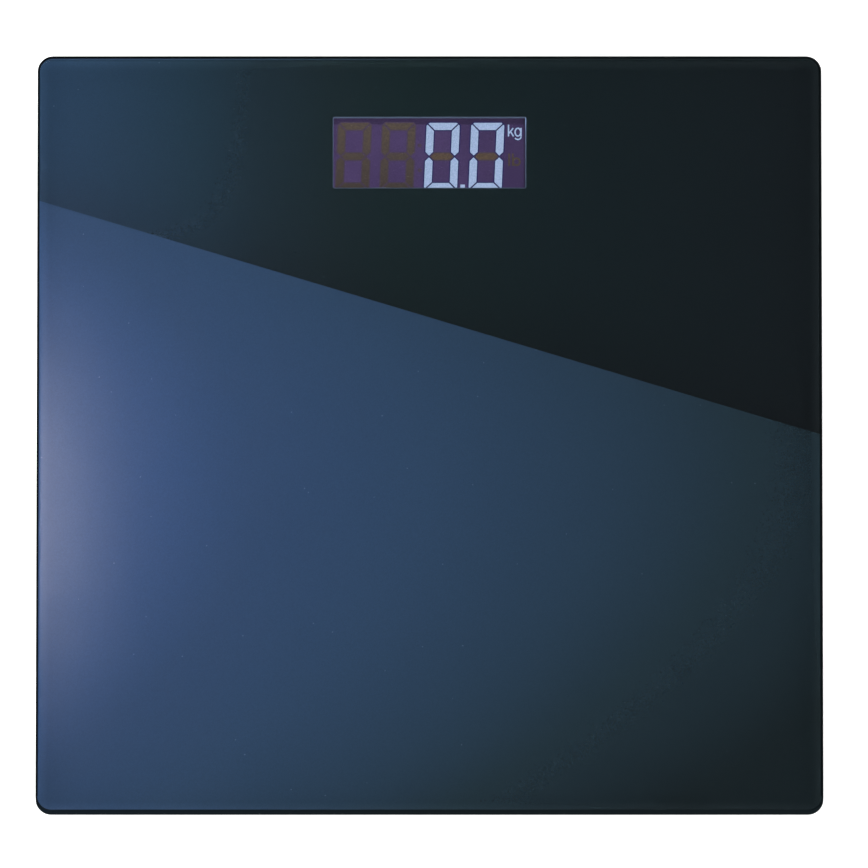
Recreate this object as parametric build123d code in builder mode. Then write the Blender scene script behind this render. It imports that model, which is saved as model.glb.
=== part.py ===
from build123d import *
from math import atan2, cos, pi, sin
import os

# A digital bathroom scale: a printed glass plate on four load-cell feet, with the display and the
# electronics in a pod under the glass. Millimetres; +Z up, +Y towards the display, origin on the
# floor under the middle of the glass.

# Glass plate and the printed film under it
platform_width = 300.0
platform_depth = 300.0
platform_corner_radius = 6.0
glass_thickness = 6.0
glass_top_bevel = 0.6
glass_bottom_bevel = 0.6
film_thickness = 0.3
film_inset = 0.6

# Display window in the film
window_width = 74.0
window_height = 28.5
window_corner_radius = 0.8
window_from_rear = 37.5

# Clearances: fixed fits, moving fits, the plunging feet, parts that pass, round things on flat ones
fit_clearance = 0.2
slide_clearance = 0.3
running_clearance = 0.5
part_clearance = 0.5
touch_gap = 0.05

# Feet
foot_inset = 40.0
foot_to_pod = 14.0
foot_tape_thickness = 0.8
foot_tape_inset = 2.0
foot_tape_hole = 20.0
housing_diameter = 58.0
housing_wall = 5.0
housing_roof = 4.5
housing_edge_radius = 1.0
cell_size = 34.0
cell_thickness = 2.5
cell_corner_radius = 2.0
cell_recess = 0.6
tongue_width = 14.0
tongue_length = 18.0
tongue_tip = 5.5
tongue_slot = 2.5
gauge_length = 9.0
gauge_thickness = 1.0
relief_depth = 1.5
boss_diameter = 9.0
boss_height = 2.2
cup_diameter = 41.0
flange_thickness = 1.5
foot_play = 0.8
key_width = 4.0
key_depth = 2.2
ring_floor_gap = 3.35
ring_thickness = 2.0
pad_diameter = 35.0
pad_thickness = 2.4
pad_recess = 1.2
pad_groove_width = 1.6
pad_groove_depth = 0.6
pad_groove_pitch = 5.0
pad_groove_count = 2

# Screws
screw_diameter = 2.2
screw_head_diameter = 4.0
screw_head_height = 1.2
screw_length = 6.0
screw_recess_width = 0.6
screw_recess_depth = 0.6
ring_screw_count = 3
cell_screw_head_diameter = 5.2
cell_screw_length = 6.0
board_screw_length = 5.0
pod_screw_recess = 0.4

# Leads from the load cells
wire_diameter = 1.0
wire_pitch = 1.25
lead_channel_width = 5.0
lead_channel_height = 1.5
lead_film_gap = 0.2
lead_exit = 4.0
lead_ramp = 12.0
lead_straight = 16.0
lead_approach = 26.0
lead_bend_radius = 40.0
lead_ramp_radius = 10.0
clip_places = (0.25, 0.75)
clip_length = 6.0
clip_wall = 1.2
clip_floor = 0.9
clip_flange_width = 2.0
clip_flange_thickness = 0.6

# Display module, from the film downwards
gasket_thickness = 0.5
gasket_reveal = 1.0
lcd_side_border = 4.0
lcd_end_border = 3.7
lcd_plate_thickness = 1.1
contact_ledge = 2.8
diffuser_thickness = 0.3
guide_thickness = 3.0
led_length = 2.4
led_width = 4.0
led_height = 2.2
led_spacing = 15.0
zebra_width = 1.8
frame_wall = 2.2
board_thickness = 1.6
board_lead_margin = 7.0
board_post_radius = 2.2
board_post_from_frame_end = 6.0
board_edge = 0.6

# Unit button and its switch
switch_size = 6.0
switch_height = 2.5
plunger_diameter = 3.0
plunger_reach = 0.8
plunger_depth = 0.6
button_diameter = 9.0
button_flange = 1.4
button_flange_thickness = 0.8
button_proud = 0.3
button_stem_length = 0.6
button_travel = 0.5
button_from_middle = 26.0
button_from_board_front = 14.0

# Parts on the underside of the board
chip_diameter = 12.0
chip_height = 1.6
chip_edge_radius = 1.2
capacitor_diameter = 4.0
capacitor_height = 3.4
capacitor_spacing = 48.0
resistor_length = 2.0
resistor_width = 1.2
resistor_height = 0.6
resistor_rows_apart = 24.0
resistors_per_row = 4
component_row_spacing = 8.0

# Battery bay, for two small cylindrical cells
battery_diameter = 10.5
battery_length = 44.5
battery_nub_diameter = 3.8
battery_nub_length = 0.8
battery_edge_radius = 0.6
battery_clearance = 0.25
contact_thickness = 0.4
contact_size = 8.0
contact_ear_width = 3.0
contact_ear_reach = 1.6
battery_lead_turn = 3.0
battery_lead_spacing = 2.5
spring_length = 4.6
spring_wire = 0.5
spring_base_radius = 3.2
spring_tip_radius = 2.2
spring_turns = 4
arcs_per_turn = 4
bay_wall = 1.2

# Pod shell, cover and battery door
pod_tape_thickness = 0.4
pod_tape_inset = 1.0
pod_roof = 1.0
pod_wall = 1.6
cover_thickness = 1.8
cover_edge_radius = 0.8
cover_post_radius = 3.0
cover_boss_height = 2.0
door_thickness = 1.5
door_tongue_width = 1.3
door_tongue_thickness = 0.7
door_overlap = 1.0
grip_count = 5
grip_width = 1.2
grip_depth = 0.5
grip_length = 22.0
grip_pitch = 2.6

# Heights of the foot stack
ring_top = ring_floor_gap + ring_thickness
flange_bottom = ring_top + touch_gap + foot_play
flange_top = flange_bottom + flange_thickness
cell_bottom = flange_top + boss_height
cell_seat = cell_bottom + cell_thickness
housing_top = cell_seat + housing_roof
film_bottom = housing_top + foot_tape_thickness
glass_bottom = film_bottom + film_thickness
cup_bottom = pad_thickness - pad_recess

# Heights of the display stack
lcd_top = film_bottom - gasket_thickness
lcd_ledge = lcd_top - lcd_plate_thickness
lcd_bottom = lcd_ledge - lcd_plate_thickness
diffuser_bottom = lcd_bottom - diffuser_thickness
board_top = diffuser_bottom - guide_thickness
board_bottom = board_top - board_thickness
switch_bottom = board_bottom - switch_height
plunger_bottom = switch_bottom - plunger_reach

# Heights of the pod: as deep as the taller of the display stack and the battery bay
pod_top = film_bottom - pod_tape_thickness
pod_ceiling = pod_top - pod_roof
display_floor = plunger_bottom - button_stem_length - button_flange_thickness
battery_floor = pod_ceiling - 2 * battery_clearance - battery_diameter - door_thickness
cover_top = min(display_floor, battery_floor + cover_thickness)
pod_bottom = cover_top - cover_thickness
door_top = pod_bottom + door_thickness
battery_height = door_top + battery_clearance + battery_diameter / 2
cover_boss_top = cover_top + cover_boss_height
board_lead_height = board_top + touch_gap + wire_diameter / 2
cell_lead_height = cell_seat + lead_channel_height / 2
run_lead_height = film_bottom - lead_film_gap - wire_diameter / 2

# Plan of the display module and the board
window_y = platform_depth / 2 - window_from_rear
lcd_width = window_width + 2 * lcd_side_border
lcd_height = window_height + 2 * lcd_end_border
frame_half_width = lcd_width / 2 + fit_clearance + frame_wall
frame_front = window_y - lcd_height / 2 - fit_clearance - frame_wall
frame_rear = window_y + lcd_height / 2 + fit_clearance + frame_wall
board_post_x = frame_half_width + part_clearance + board_post_radius
board_post_y = (frame_front + board_post_from_frame_end, frame_rear - board_post_from_frame_end)
board_half_width = board_post_x + board_post_radius + board_edge
board_front = frame_front - board_lead_margin
board_rear = frame_rear

# Plan of the battery bay
bay_half_length = (battery_length + 2 * contact_thickness + spring_length) / 2
bay_rear = board_front - part_clearance - bay_wall
bay_front = bay_rear - 2 * battery_diameter - 3 * battery_clearance
front_battery_y = bay_front + battery_clearance + battery_diameter / 2
rear_battery_y = bay_rear - battery_clearance - battery_diameter / 2

# Plan of the pod
cover_post_x = board_half_width + part_clearance + cover_post_radius
pod_half_width = cover_post_x + cover_post_radius + part_clearance + pod_wall
pod_front = bay_front - pod_wall
pod_rear = frame_rear + part_clearance + pod_wall
pod_depth = pod_rear - pod_front
pod_middle = (pod_front + pod_rear) / 2
pod_inner_radius = cover_post_radius + 2 * part_clearance
pod_corner_radius = pod_inner_radius + pod_wall
cover_post_y = (
    pod_front + pod_wall + part_clearance + cover_post_radius,
    pod_rear - pod_wall - part_clearance - cover_post_radius,
)
door_half_width = bay_half_length + bay_wall
door_rear = bay_rear + door_overlap
button_x = button_from_middle
button_y = board_front + button_from_board_front
lead_entry_x = (door_half_width + cover_post_x - cover_post_radius) / 2

# Plan of the feet
cell_corner_reach = (cell_size / 2 - cell_corner_radius) * 2**0.5 + cell_corner_radius
housing_radius = max(housing_diameter / 2, cell_corner_reach + part_clearance + housing_wall)
bore_radius = housing_radius - housing_wall
flange_radius = bore_radius - running_clearance
cup_radius = cup_diameter / 2
ring_screw_radius = bore_radius + housing_wall / 2
cell_screw_y = cell_size / 2 + part_clearance + screw_diameter / 2
foot_x = max(platform_width / 2 - foot_inset, pod_half_width + foot_to_pod + housing_radius)
foot_y = platform_depth / 2 - foot_inset
tongue_root = tongue_length - boss_diameter / 2 - tongue_tip
gauge_end = tongue_root + gauge_length / 2

# Side and end of each foot: -1 is left or front, +1 is right or rear
feet = {
    "front_left": (-1, -1),
    "front_right": (1, -1),
    "rear_left": (-1, 1),
    "rear_right": (1, 1),
}

os.makedirs("parts", exist_ok=True)


def save(builder, name):
    """Label a finished piece and write it as its own file."""
    builder.part.label = name
    export_step(builder.part, f"parts/{name}.step")


def lead_angle(foot):
    """Direction in which the lead leaves a foot: rear feet face the pod, front feet the middle."""
    side, end = feet[foot]
    return atan2(1 if end < 0 else 0, -side)


def foot_plane(foot, height):
    """Level plane on the axis of a foot, with X along its lead."""
    side, end = feet[foot]
    angle = lead_angle(foot)
    return Plane(
        origin=(side * foot_x, end * foot_y, height),
        x_dir=(cos(angle), sin(angle), 0),
        z_dir=(0, 0, 1),
    )


def level(height, y=0.0, x=0.0):
    """Level plane at a height, with its origin at (x, y)."""
    return Plane(origin=(x, y, height))


def add_screws(seat, points, head_diameter, length):
    """Add pan-head screws that point up from a seat plane, with a cross recess in each head."""
    with BuildSketch(seat) as heads:
        with Locations(*points):
            Circle(head_diameter / 2)
    extrude(heads.sketch, amount=-screw_head_height)
    with BuildSketch(seat) as shanks:
        with Locations(*points):
            Circle(screw_diameter / 2)
    extrude(shanks.sketch, amount=length)
    with BuildSketch(seat.offset(-screw_head_height)) as recesses:
        with Locations(*points):
            Rectangle(head_diameter / 2, screw_recess_width)
            Rectangle(screw_recess_width, head_diameter / 2)
    extrude(recesses.sketch, amount=screw_recess_depth, mode=Mode.SUBTRACT)


def cut_holes(seat, points, radius, depth):
    """Cut round holes upwards from a plane."""
    with BuildSketch(seat) as holes:
        with Locations(*points):
            Circle(radius)
    extrude(holes.sketch, amount=depth, mode=Mode.SUBTRACT)


# Glass plate: cut square, corners rounded, all edges ground to a bevel and polished
with BuildPart() as glass_platform:
    with BuildSketch(level(glass_bottom)):
        RectangleRounded(platform_width, platform_depth, platform_corner_radius)
    extrude(amount=glass_thickness)
    chamfer(glass_platform.faces().sort_by(Axis.Z)[-1].edges(), glass_top_bevel)
    chamfer(glass_platform.faces().sort_by(Axis.Z)[0].edges(), glass_bottom_bevel)
save(glass_platform, "glass_platform")

# Printed film: opaque ink on a film bonded under the glass, clear at the display window
with BuildPart() as printed_film:
    with BuildSketch(level(film_bottom)):
        RectangleRounded(
            platform_width - 2 * film_inset,
            platform_depth - 2 * film_inset,
            platform_corner_radius - film_inset,
        )
        with Locations((0, window_y)):
            RectangleRounded(
                window_width, window_height, window_corner_radius, mode=Mode.SUBTRACT
            )
    extrude(amount=film_thickness)
save(printed_film, "printed_film")

# The four feet, each around its own axis
ring_screw_points = [
    (ring_screw_radius * cos(turn * 2 * pi / ring_screw_count + pi),
     ring_screw_radius * sin(turn * 2 * pi / ring_screw_count + pi))
    for turn in range(ring_screw_count)
]
cell_screw_points = [(0, cell_screw_y), (0, -cell_screw_y)]

for foot in feet:
    # Double-sided foam tape that bonds the housing to the film
    with BuildPart() as foot_tape:
        with BuildSketch(foot_plane(foot, housing_top)):
            Circle(housing_radius - foot_tape_inset)
            Circle(foot_tape_hole / 2, mode=Mode.SUBTRACT)
        extrude(amount=foot_tape_thickness)
    save(foot_tape, f"foot_tape_{foot}")

    # Moulded housing: a cup open downwards, with a seat for the cell and a relief over its tongue
    with BuildPart() as foot_housing:
        with BuildSketch(foot_plane(foot, ring_top)):
            Circle(housing_radius)
        extrude(amount=housing_top - ring_top)
        fillet(foot_housing.edges().group_by(Axis.Z)[-1], housing_edge_radius)
        with BuildSketch(foot_plane(foot, ring_top)):
            Circle(bore_radius)
        extrude(amount=cell_seat - cell_recess - ring_top, mode=Mode.SUBTRACT)
        with BuildSketch(foot_plane(foot, cell_seat - cell_recess)):
            RectangleRounded(
                cell_size + 2 * fit_clearance,
                cell_size + 2 * fit_clearance,
                cell_corner_radius + fit_clearance,
            )
        extrude(amount=cell_recess, mode=Mode.SUBTRACT)
        relief_rear = tongue_root - tongue_length - tongue_slot - part_clearance
        relief_front = gauge_end + part_clearance
        with BuildSketch(foot_plane(foot, cell_seat)):
            with Locations(((relief_rear + relief_front) / 2, 0)):
                Rectangle(
                    relief_front - relief_rear,
                    tongue_width + 2 * tongue_slot + 2 * part_clearance,
                )
            with Locations((housing_radius / 2, 0)):
                Rectangle(housing_radius + housing_wall, lead_channel_width)
        extrude(amount=relief_depth, mode=Mode.SUBTRACT)
        with BuildSketch(foot_plane(foot, ring_top)):
            with Locations((0, bore_radius), (0, -bore_radius)):
                Rectangle(key_width, 2 * key_depth)
            Circle(bore_radius + housing_wall / 2, mode=Mode.INTERSECT)
        extrude(amount=flange_top - ring_top)
        cut_holes(
            foot_plane(foot, ring_top),
            ring_screw_points,
            screw_diameter / 2 + fit_clearance / 2,
            screw_length + part_clearance,
        )
        cut_holes(
            foot_plane(foot, cell_seat - cell_recess),
            cell_screw_points,
            screw_diameter / 2 + fit_clearance / 2,
            cell_screw_length - cell_thickness + cell_recess,
        )
    save(foot_housing, f"foot_housing_{foot}")

    # Load cell: a stamped steel plate with a tongue that bends between the boss and the frame
    with BuildPart() as load_cell:
        with BuildSketch(foot_plane(foot, cell_bottom)):
            RectangleRounded(cell_size, cell_size, cell_corner_radius)
            with Locations((tongue_root - (tongue_length + tongue_slot) / 2, 0)):
                Rectangle(
                    tongue_length + tongue_slot,
                    tongue_width + 2 * tongue_slot,
                    mode=Mode.SUBTRACT,
                )
            with Locations((tongue_root - tongue_length / 2, 0)):
                Rectangle(tongue_length, tongue_width)
        extrude(amount=cell_thickness)
    save(load_cell, f"load_cell_{foot}")

    # Retaining ring: screwed under the housing, it catches the flange when the scale is lifted
    with BuildPart() as retaining_ring:
        with BuildSketch(foot_plane(foot, ring_floor_gap)):
            Circle(housing_radius)
            Circle(cup_radius + running_clearance, mode=Mode.SUBTRACT)
        extrude(amount=ring_thickness)
        cut_holes(
            foot_plane(foot, ring_floor_gap),
            ring_screw_points,
            screw_head_diameter / 2 + fit_clearance / 2,
            screw_head_height,
        )
        cut_holes(
            foot_plane(foot, ring_floor_gap),
            ring_screw_points,
            screw_diameter / 2 + fit_clearance / 2,
            ring_thickness,
        )
    save(retaining_ring, f"retaining_ring_{foot}")

    # Foot cup: the plunger that carries the load up to the tongue, keyed so that it can't turn
    with BuildPart() as foot_cup:
        with BuildSketch(foot_plane(foot, cup_bottom)):
            Circle(cup_radius)
        extrude(amount=flange_top - cup_bottom)
        with BuildSketch(foot_plane(foot, flange_bottom)):
            Circle(flange_radius)
            with Locations((0, bore_radius), (0, -bore_radius)):
                Rectangle(
                    key_width + 2 * running_clearance,
                    2 * (key_depth + running_clearance),
                    mode=Mode.SUBTRACT,
                )
        extrude(amount=flange_thickness)
        with BuildSketch(foot_plane(foot, flange_top)):
            Circle(boss_diameter / 2)
        extrude(amount=boss_height)
        with BuildSketch(foot_plane(foot, cup_bottom)):
            Circle(pad_diameter / 2 + fit_clearance)
        extrude(amount=pad_recess, mode=Mode.SUBTRACT)
    save(foot_cup, f"foot_cup_{foot}")

    # Rubber pad: pressed into the cup, with ring grooves for grip
    with BuildPart() as foot_pad:
        with BuildSketch(foot_plane(foot, 0)):
            Circle(pad_diameter / 2)
        extrude(amount=pad_thickness)
        with BuildSketch(foot_plane(foot, 0)):
            for groove in range(pad_groove_count, 0, -1):
                Circle(groove * pad_groove_pitch + pad_groove_width)
                Circle(groove * pad_groove_pitch, mode=Mode.SUBTRACT)
        extrude(amount=pad_groove_depth, mode=Mode.SUBTRACT)
    save(foot_pad, f"foot_pad_{foot}")

# White silicone over the strain gauges at the root of each tongue
with BuildPart() as gauge_coatings:
    for foot in feet:
        with BuildSketch(foot_plane(foot, cell_seat)):
            with Locations((gauge_end - gauge_length / 2, 0)):
                Rectangle(gauge_length, tongue_width - 2 * part_clearance)
        extrude(amount=gauge_thickness)
save(gauge_coatings, "gauge_coatings")

# Screws of the feet
with BuildPart() as ring_screws:
    for foot in feet:
        seat = foot_plane(foot, ring_floor_gap + screw_head_height)
        add_screws(seat, ring_screw_points, screw_head_diameter, screw_length)
save(ring_screws, "ring_screws")

with BuildPart() as cell_screws:
    for foot in feet:
        add_screws(
            foot_plane(foot, cell_bottom),
            cell_screw_points,
            cell_screw_head_diameter,
            cell_screw_length,
        )
save(cell_screws, "cell_screws")


def lead_route(foot):
    """Middle line of a lead: out of the foot, along the film where it is long, into the pod."""
    side, end = feet[foot]
    axis = foot_plane(foot, 0)
    outside = housing_radius + lead_exit
    start = axis.from_local_coords(Vector(gauge_end, 0, cell_lead_height))
    leaving = axis.from_local_coords(Vector(outside, 0, cell_lead_height))
    if end > 0:
        entering = Vector(side * (pod_half_width + lead_exit), end * foot_y, board_lead_height)
        soldered = Vector(side * (frame_half_width + part_clearance), end * foot_y, board_lead_height)
        return [start, leaving, entering, soldered], [lead_ramp_radius] * 2
    raised = axis.from_local_coords(Vector(outside + lead_ramp, 0, run_lead_height))
    turning = axis.from_local_coords(Vector(outside + lead_ramp + lead_straight, 0, run_lead_height))
    entry_x = side * lead_entry_x
    entry_y = pod_front - lead_exit
    lining_up = Vector(entry_x, entry_y - lead_ramp - lead_approach, run_lead_height)
    falling = Vector(entry_x, entry_y - lead_ramp, run_lead_height)
    entering = Vector(entry_x, entry_y, board_lead_height)
    soldered = Vector(entry_x, frame_front - part_clearance, board_lead_height)
    route = [start, leaving, raised, turning, lining_up, falling, entering, soldered]
    bends = [lead_ramp_radius] * 2 + [lead_bend_radius] * 2 + [lead_ramp_radius] * 2
    return route, bends


def shifted(route, shift):
    """A route moved sideways in plan, with its corners mitred."""
    normals = []
    for here, there in zip(route, route[1:]):
        heading = Vector(there.X - here.X, there.Y - here.Y, 0).normalized()
        normals.append(Vector(-heading.Y, heading.X, 0))
    before = [normals[0]] + normals
    after = normals + [normals[-1]]
    return [
        point + (first + second) * (shift / (1 + first.dot(second)))
        for point, first, second in zip(route, before, after)
    ]


def add_wire(path):
    """Add one round wire along a path to the part being built."""
    with BuildSketch(Plane(origin=path @ 0, z_dir=path % 0)) as section:
        Circle(wire_diameter / 2)
    sweep(section.sketch, path=path)


# Leads: three insulated wires side by side from each cell to the board
for foot in feet:
    middle_line, bends = lead_route(foot)
    paths = []
    for lane in (-1, 0, 1):
        with BuildLine() as lane_line:
            FilletPolyline(*shifted(middle_line, lane * wire_pitch), radius=bends)
        paths.append(lane_line.wire())
    with BuildPart() as load_cell_lead:
        for path in paths:
            add_wire(path)
    save(load_cell_lead, f"load_cell_lead_{foot}")
    expected = sum(path.length for path in paths) * pi * wire_diameter**2 / 4
    ratio = load_cell_lead.part.volume / expected
    print(f"lead {foot}: {paths[1].length:.1f} mm, volume ratio {ratio:.4f}")

# Clips: small adhesive bridges that hold the long leads against the film
clip_channel_width = 2 * wire_pitch + wire_diameter + 2 * part_clearance
clip_channel_depth = lead_film_gap + wire_diameter + fit_clearance
clip_depth = clip_channel_depth + clip_floor
clip_width = clip_channel_width + 2 * clip_wall
with BuildPart() as lead_clips:
    for foot in ("front_left", "front_right"):
        route = lead_route(foot)[0]
        start = route[3]
        run = route[4] - route[3]
        for place in clip_places:
            middle = start + run * place
            across = Vector(-run.Y, run.X, 0)
            end_face = Plane(
                origin=(middle.X, middle.Y, film_bottom), x_dir=across, z_dir=run
            ).offset(-clip_length / 2)
            with BuildSketch(end_face):
                with Locations((0, -clip_depth / 2)):
                    Rectangle(clip_width, clip_depth)
                with Locations((0, -clip_flange_thickness / 2)):
                    Rectangle(clip_width + 2 * clip_flange_width, clip_flange_thickness)
                with Locations((0, -clip_channel_depth / 2)):
                    Rectangle(clip_channel_width, clip_channel_depth, mode=Mode.SUBTRACT)
            extrude(amount=clip_length)
save(lead_clips, "lead_clips")

# Pod tape: bonds the pod to the film around the display
with BuildPart() as pod_tape:
    with BuildSketch(level(pod_top, pod_middle)):
        RectangleRounded(
            2 * (pod_half_width - pod_tape_inset),
            pod_depth - 2 * pod_tape_inset,
            pod_corner_radius - pod_tape_inset,
        )
        with Locations((0, window_y - pod_middle)):
            Rectangle(
                lcd_width + 2 * part_clearance,
                lcd_height + 2 * part_clearance,
                mode=Mode.SUBTRACT,
            )
    extrude(amount=pod_tape_thickness)
save(pod_tape, "pod_tape")

board_posts = [(side * board_post_x, y) for side in (-1, 1) for y in board_post_y]
cover_posts = [(side * cover_post_x, y) for side in (-1, 1) for y in cover_post_y]

# Pod housing: a moulded tray, open downwards, with the battery bay walls and the screw posts
with BuildPart() as pod_housing:
    with BuildSketch(level(cover_top, pod_middle)):
        RectangleRounded(2 * pod_half_width, pod_depth, pod_corner_radius)
    extrude(amount=pod_top - cover_top)
    with BuildSketch(level(cover_top, pod_middle)):
        RectangleRounded(
            2 * (pod_half_width - pod_wall), pod_depth - 2 * pod_wall, pod_inner_radius
        )
    extrude(amount=pod_ceiling - cover_top, mode=Mode.SUBTRACT)
    with BuildSketch(level(pod_ceiling, window_y)):
        Rectangle(lcd_width + 2 * fit_clearance, lcd_height + 2 * fit_clearance)
    extrude(amount=pod_roof, mode=Mode.SUBTRACT)
    with BuildSketch(level(cover_top)):
        with Locations((0, (pod_front + bay_rear + bay_wall) / 2)):
            Rectangle(2 * (bay_half_length + bay_wall), bay_rear + bay_wall - pod_front)
        with Locations((0, (bay_front + bay_rear) / 2)):
            Rectangle(2 * bay_half_length, bay_rear - bay_front, mode=Mode.SUBTRACT)
    extrude(amount=pod_ceiling - cover_top)
    with BuildSketch(level(board_top)):
        with Locations(*board_posts):
            Circle(board_post_radius)
    extrude(amount=pod_ceiling - board_top)
    with BuildSketch(level(cover_boss_top)):
        with Locations(*cover_posts):
            Circle(cover_post_radius)
    extrude(amount=pod_ceiling - cover_boss_top)
    cut_holes(
        level(board_top),
        board_posts,
        screw_diameter / 2 + fit_clearance / 2,
        board_screw_length - board_thickness + fit_clearance,
    )
    cut_holes(
        level(cover_boss_top),
        cover_posts,
        screw_diameter / 2 + fit_clearance / 2,
        screw_length,
    )
    with BuildSketch(level(board_lead_height - lead_channel_height / 2)):
        with Locations(*[(side * pod_half_width, foot_y) for side in (-1, 1)]):
            Rectangle(2 * pod_wall + 2 * part_clearance, lead_channel_width)
        with Locations(*[(side * lead_entry_x, pod_front) for side in (-1, 1)]):
            Rectangle(lead_channel_width, 2 * pod_wall + 2 * part_clearance)
    extrude(amount=lead_channel_height, mode=Mode.SUBTRACT)
    with BuildSketch(level(board_lead_height - contact_thickness / 2 - fit_clearance)):
        for y in (front_battery_y, rear_battery_y):
            with Locations((bay_half_length + bay_wall / 2, y)):
                Rectangle(2 * bay_wall, contact_ear_width + 2 * fit_clearance)
    extrude(amount=contact_thickness + 2 * fit_clearance, mode=Mode.SUBTRACT)
save(pod_housing, "pod_housing")

# Display gasket: a black foam frame between the film and the front of the display
with BuildPart() as window_gasket:
    with BuildSketch(level(lcd_top, window_y)):
        Rectangle(lcd_width, lcd_height)
        Rectangle(
            window_width + 2 * gasket_reveal,
            window_height + 2 * gasket_reveal,
            mode=Mode.SUBTRACT,
        )
    extrude(amount=gasket_thickness)
save(window_gasket, "window_gasket")

# Display glass: the front plate carries the contacts on a ledge that the rear plate leaves free
lcd_rear_depth = lcd_height - contact_ledge
lcd_rear_y = window_y + contact_ledge / 2
with BuildPart() as lcd_front_glass:
    with BuildSketch(level(lcd_ledge, window_y)):
        Rectangle(lcd_width, lcd_height)
    extrude(amount=lcd_plate_thickness)
save(lcd_front_glass, "lcd_front_glass")

with BuildPart() as lcd_rear_glass:
    with BuildSketch(level(lcd_bottom, lcd_rear_y)):
        Rectangle(lcd_width, lcd_rear_depth)
    extrude(amount=lcd_plate_thickness)
save(lcd_rear_glass, "lcd_rear_glass")

# Backlight: a diffuser over an acrylic guide, lit from both ends
guide_half_width = lcd_width / 2 - led_length - 2 * fit_clearance
with BuildPart() as diffuser_film:
    with BuildSketch(level(diffuser_bottom, lcd_rear_y)):
        Rectangle(lcd_width, lcd_rear_depth)
    extrude(amount=diffuser_thickness)
save(diffuser_film, "diffuser_film")

with BuildPart() as light_guide:
    with BuildSketch(level(board_top, lcd_rear_y)):
        Rectangle(2 * guide_half_width, lcd_rear_depth)
    extrude(amount=guide_thickness)
save(light_guide, "light_guide")

with BuildPart() as backlight_leds:
    with BuildSketch(level(board_top, lcd_rear_y)):
        with GridLocations(lcd_width - led_length, led_spacing, 2, 2):
            Rectangle(led_length, led_width)
    extrude(amount=led_height)
save(backlight_leds, "backlight_leds")

# Zebra strip: the elastomer that joins the contact ledge to the board
with BuildPart() as zebra_strip:
    with BuildSketch(level(board_top, window_y - lcd_height / 2 + contact_ledge / 2)):
        Rectangle(window_width, zebra_width)
    extrude(amount=lcd_ledge - board_top)
save(zebra_strip, "zebra_strip")

# Display frame: keeps the stack square on the board
with BuildPart() as display_frame:
    with BuildSketch(level(board_top, window_y)):
        Rectangle(2 * frame_half_width, frame_rear - frame_front)
        Rectangle(lcd_width + 2 * fit_clearance, lcd_height + 2 * fit_clearance, mode=Mode.SUBTRACT)
    extrude(amount=pod_ceiling - board_top)
save(display_frame, "display_frame")

# Circuit board, its screws and what is soldered under it
with BuildPart() as circuit_board:
    with BuildSketch(level(board_bottom, (board_front + board_rear) / 2)):
        Rectangle(2 * board_half_width, board_rear - board_front)
    extrude(amount=board_thickness)
    cut_holes(
        level(board_bottom), board_posts, screw_diameter / 2 + fit_clearance / 2, board_thickness
    )
save(circuit_board, "circuit_board")

with BuildPart() as board_screws:
    add_screws(level(board_bottom), board_posts, screw_head_diameter, board_screw_length)
save(board_screws, "board_screws")

with BuildPart() as control_chip:
    with BuildSketch(level(board_bottom, window_y)):
        Circle(chip_diameter / 2)
    extrude(amount=-chip_height)
    fillet(control_chip.faces().sort_by(Axis.Z)[0].edges(), chip_edge_radius)
save(control_chip, "control_chip")

with BuildPart() as board_components:
    with BuildSketch(level(board_bottom, window_y)):
        with Locations((-capacitor_spacing / 2, 0), (capacitor_spacing / 2, 0)):
            Circle(capacitor_diameter / 2)
    extrude(amount=-capacitor_height)
    with BuildSketch(level(board_bottom, window_y)):
        with GridLocations(component_row_spacing, resistor_rows_apart, resistors_per_row, 2):
            Rectangle(resistor_length, resistor_width)
    extrude(amount=-resistor_height)
save(board_components, "board_components")

# Switch for the unit button, with its own plunger
with BuildPart() as tact_switch:
    with BuildSketch(level(switch_bottom, button_y, button_x)):
        Rectangle(switch_size, switch_size)
    extrude(amount=switch_height)
    cut_holes(
        level(switch_bottom, button_y, button_x),
        [(0, 0)],
        plunger_diameter / 2 + slide_clearance,
        plunger_depth + button_travel + part_clearance,
    )
save(tact_switch, "tact_switch")

with BuildPart() as tact_plunger:
    with BuildSketch(level(plunger_bottom, button_y, button_x)):
        Circle(plunger_diameter / 2)
    extrude(amount=plunger_reach + plunger_depth)
save(tact_plunger, "tact_plunger")

# Unit button: a flanged cap that shows through the cover and pushes the plunger
with BuildPart() as unit_button:
    with BuildSketch(level(pod_bottom - button_proud, button_y, button_x)):
        Circle(button_diameter / 2)
    extrude(amount=button_proud + cover_thickness)
    fillet(unit_button.faces().sort_by(Axis.Z)[0].edges(), button_proud)
    with BuildSketch(level(cover_top, button_y, button_x)):
        Circle(button_diameter / 2 + button_flange)
    extrude(amount=button_flange_thickness)
    with BuildSketch(level(cover_top + button_flange_thickness, button_y, button_x)):
        Circle(plunger_diameter / 2)
    extrude(amount=plunger_bottom - cover_top - button_flange_thickness)
save(unit_button, "unit_button")

# Batteries: the front one points right, the rear one left
battery_body = battery_length - battery_nub_length
for name, y, way in (("front", front_battery_y, 1), ("rear", rear_battery_y, -1)):
    base = -way * (bay_half_length - contact_thickness - spring_length)
    with BuildPart() as battery:
        with BuildSketch(Plane(origin=(base, y, battery_height), z_dir=(way, 0, 0))):
            Circle(battery_diameter / 2)
        extrude(amount=battery_body)
        fillet(battery.edges().filter_by(GeomType.CIRCLE), battery_edge_radius)
        top = Plane(origin=(base + way * battery_body, y, battery_height), z_dir=(way, 0, 0))
        with BuildSketch(top):
            Circle(battery_nub_diameter / 2)
        extrude(amount=battery_nub_length)
    save(battery, f"battery_{name}")

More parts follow.
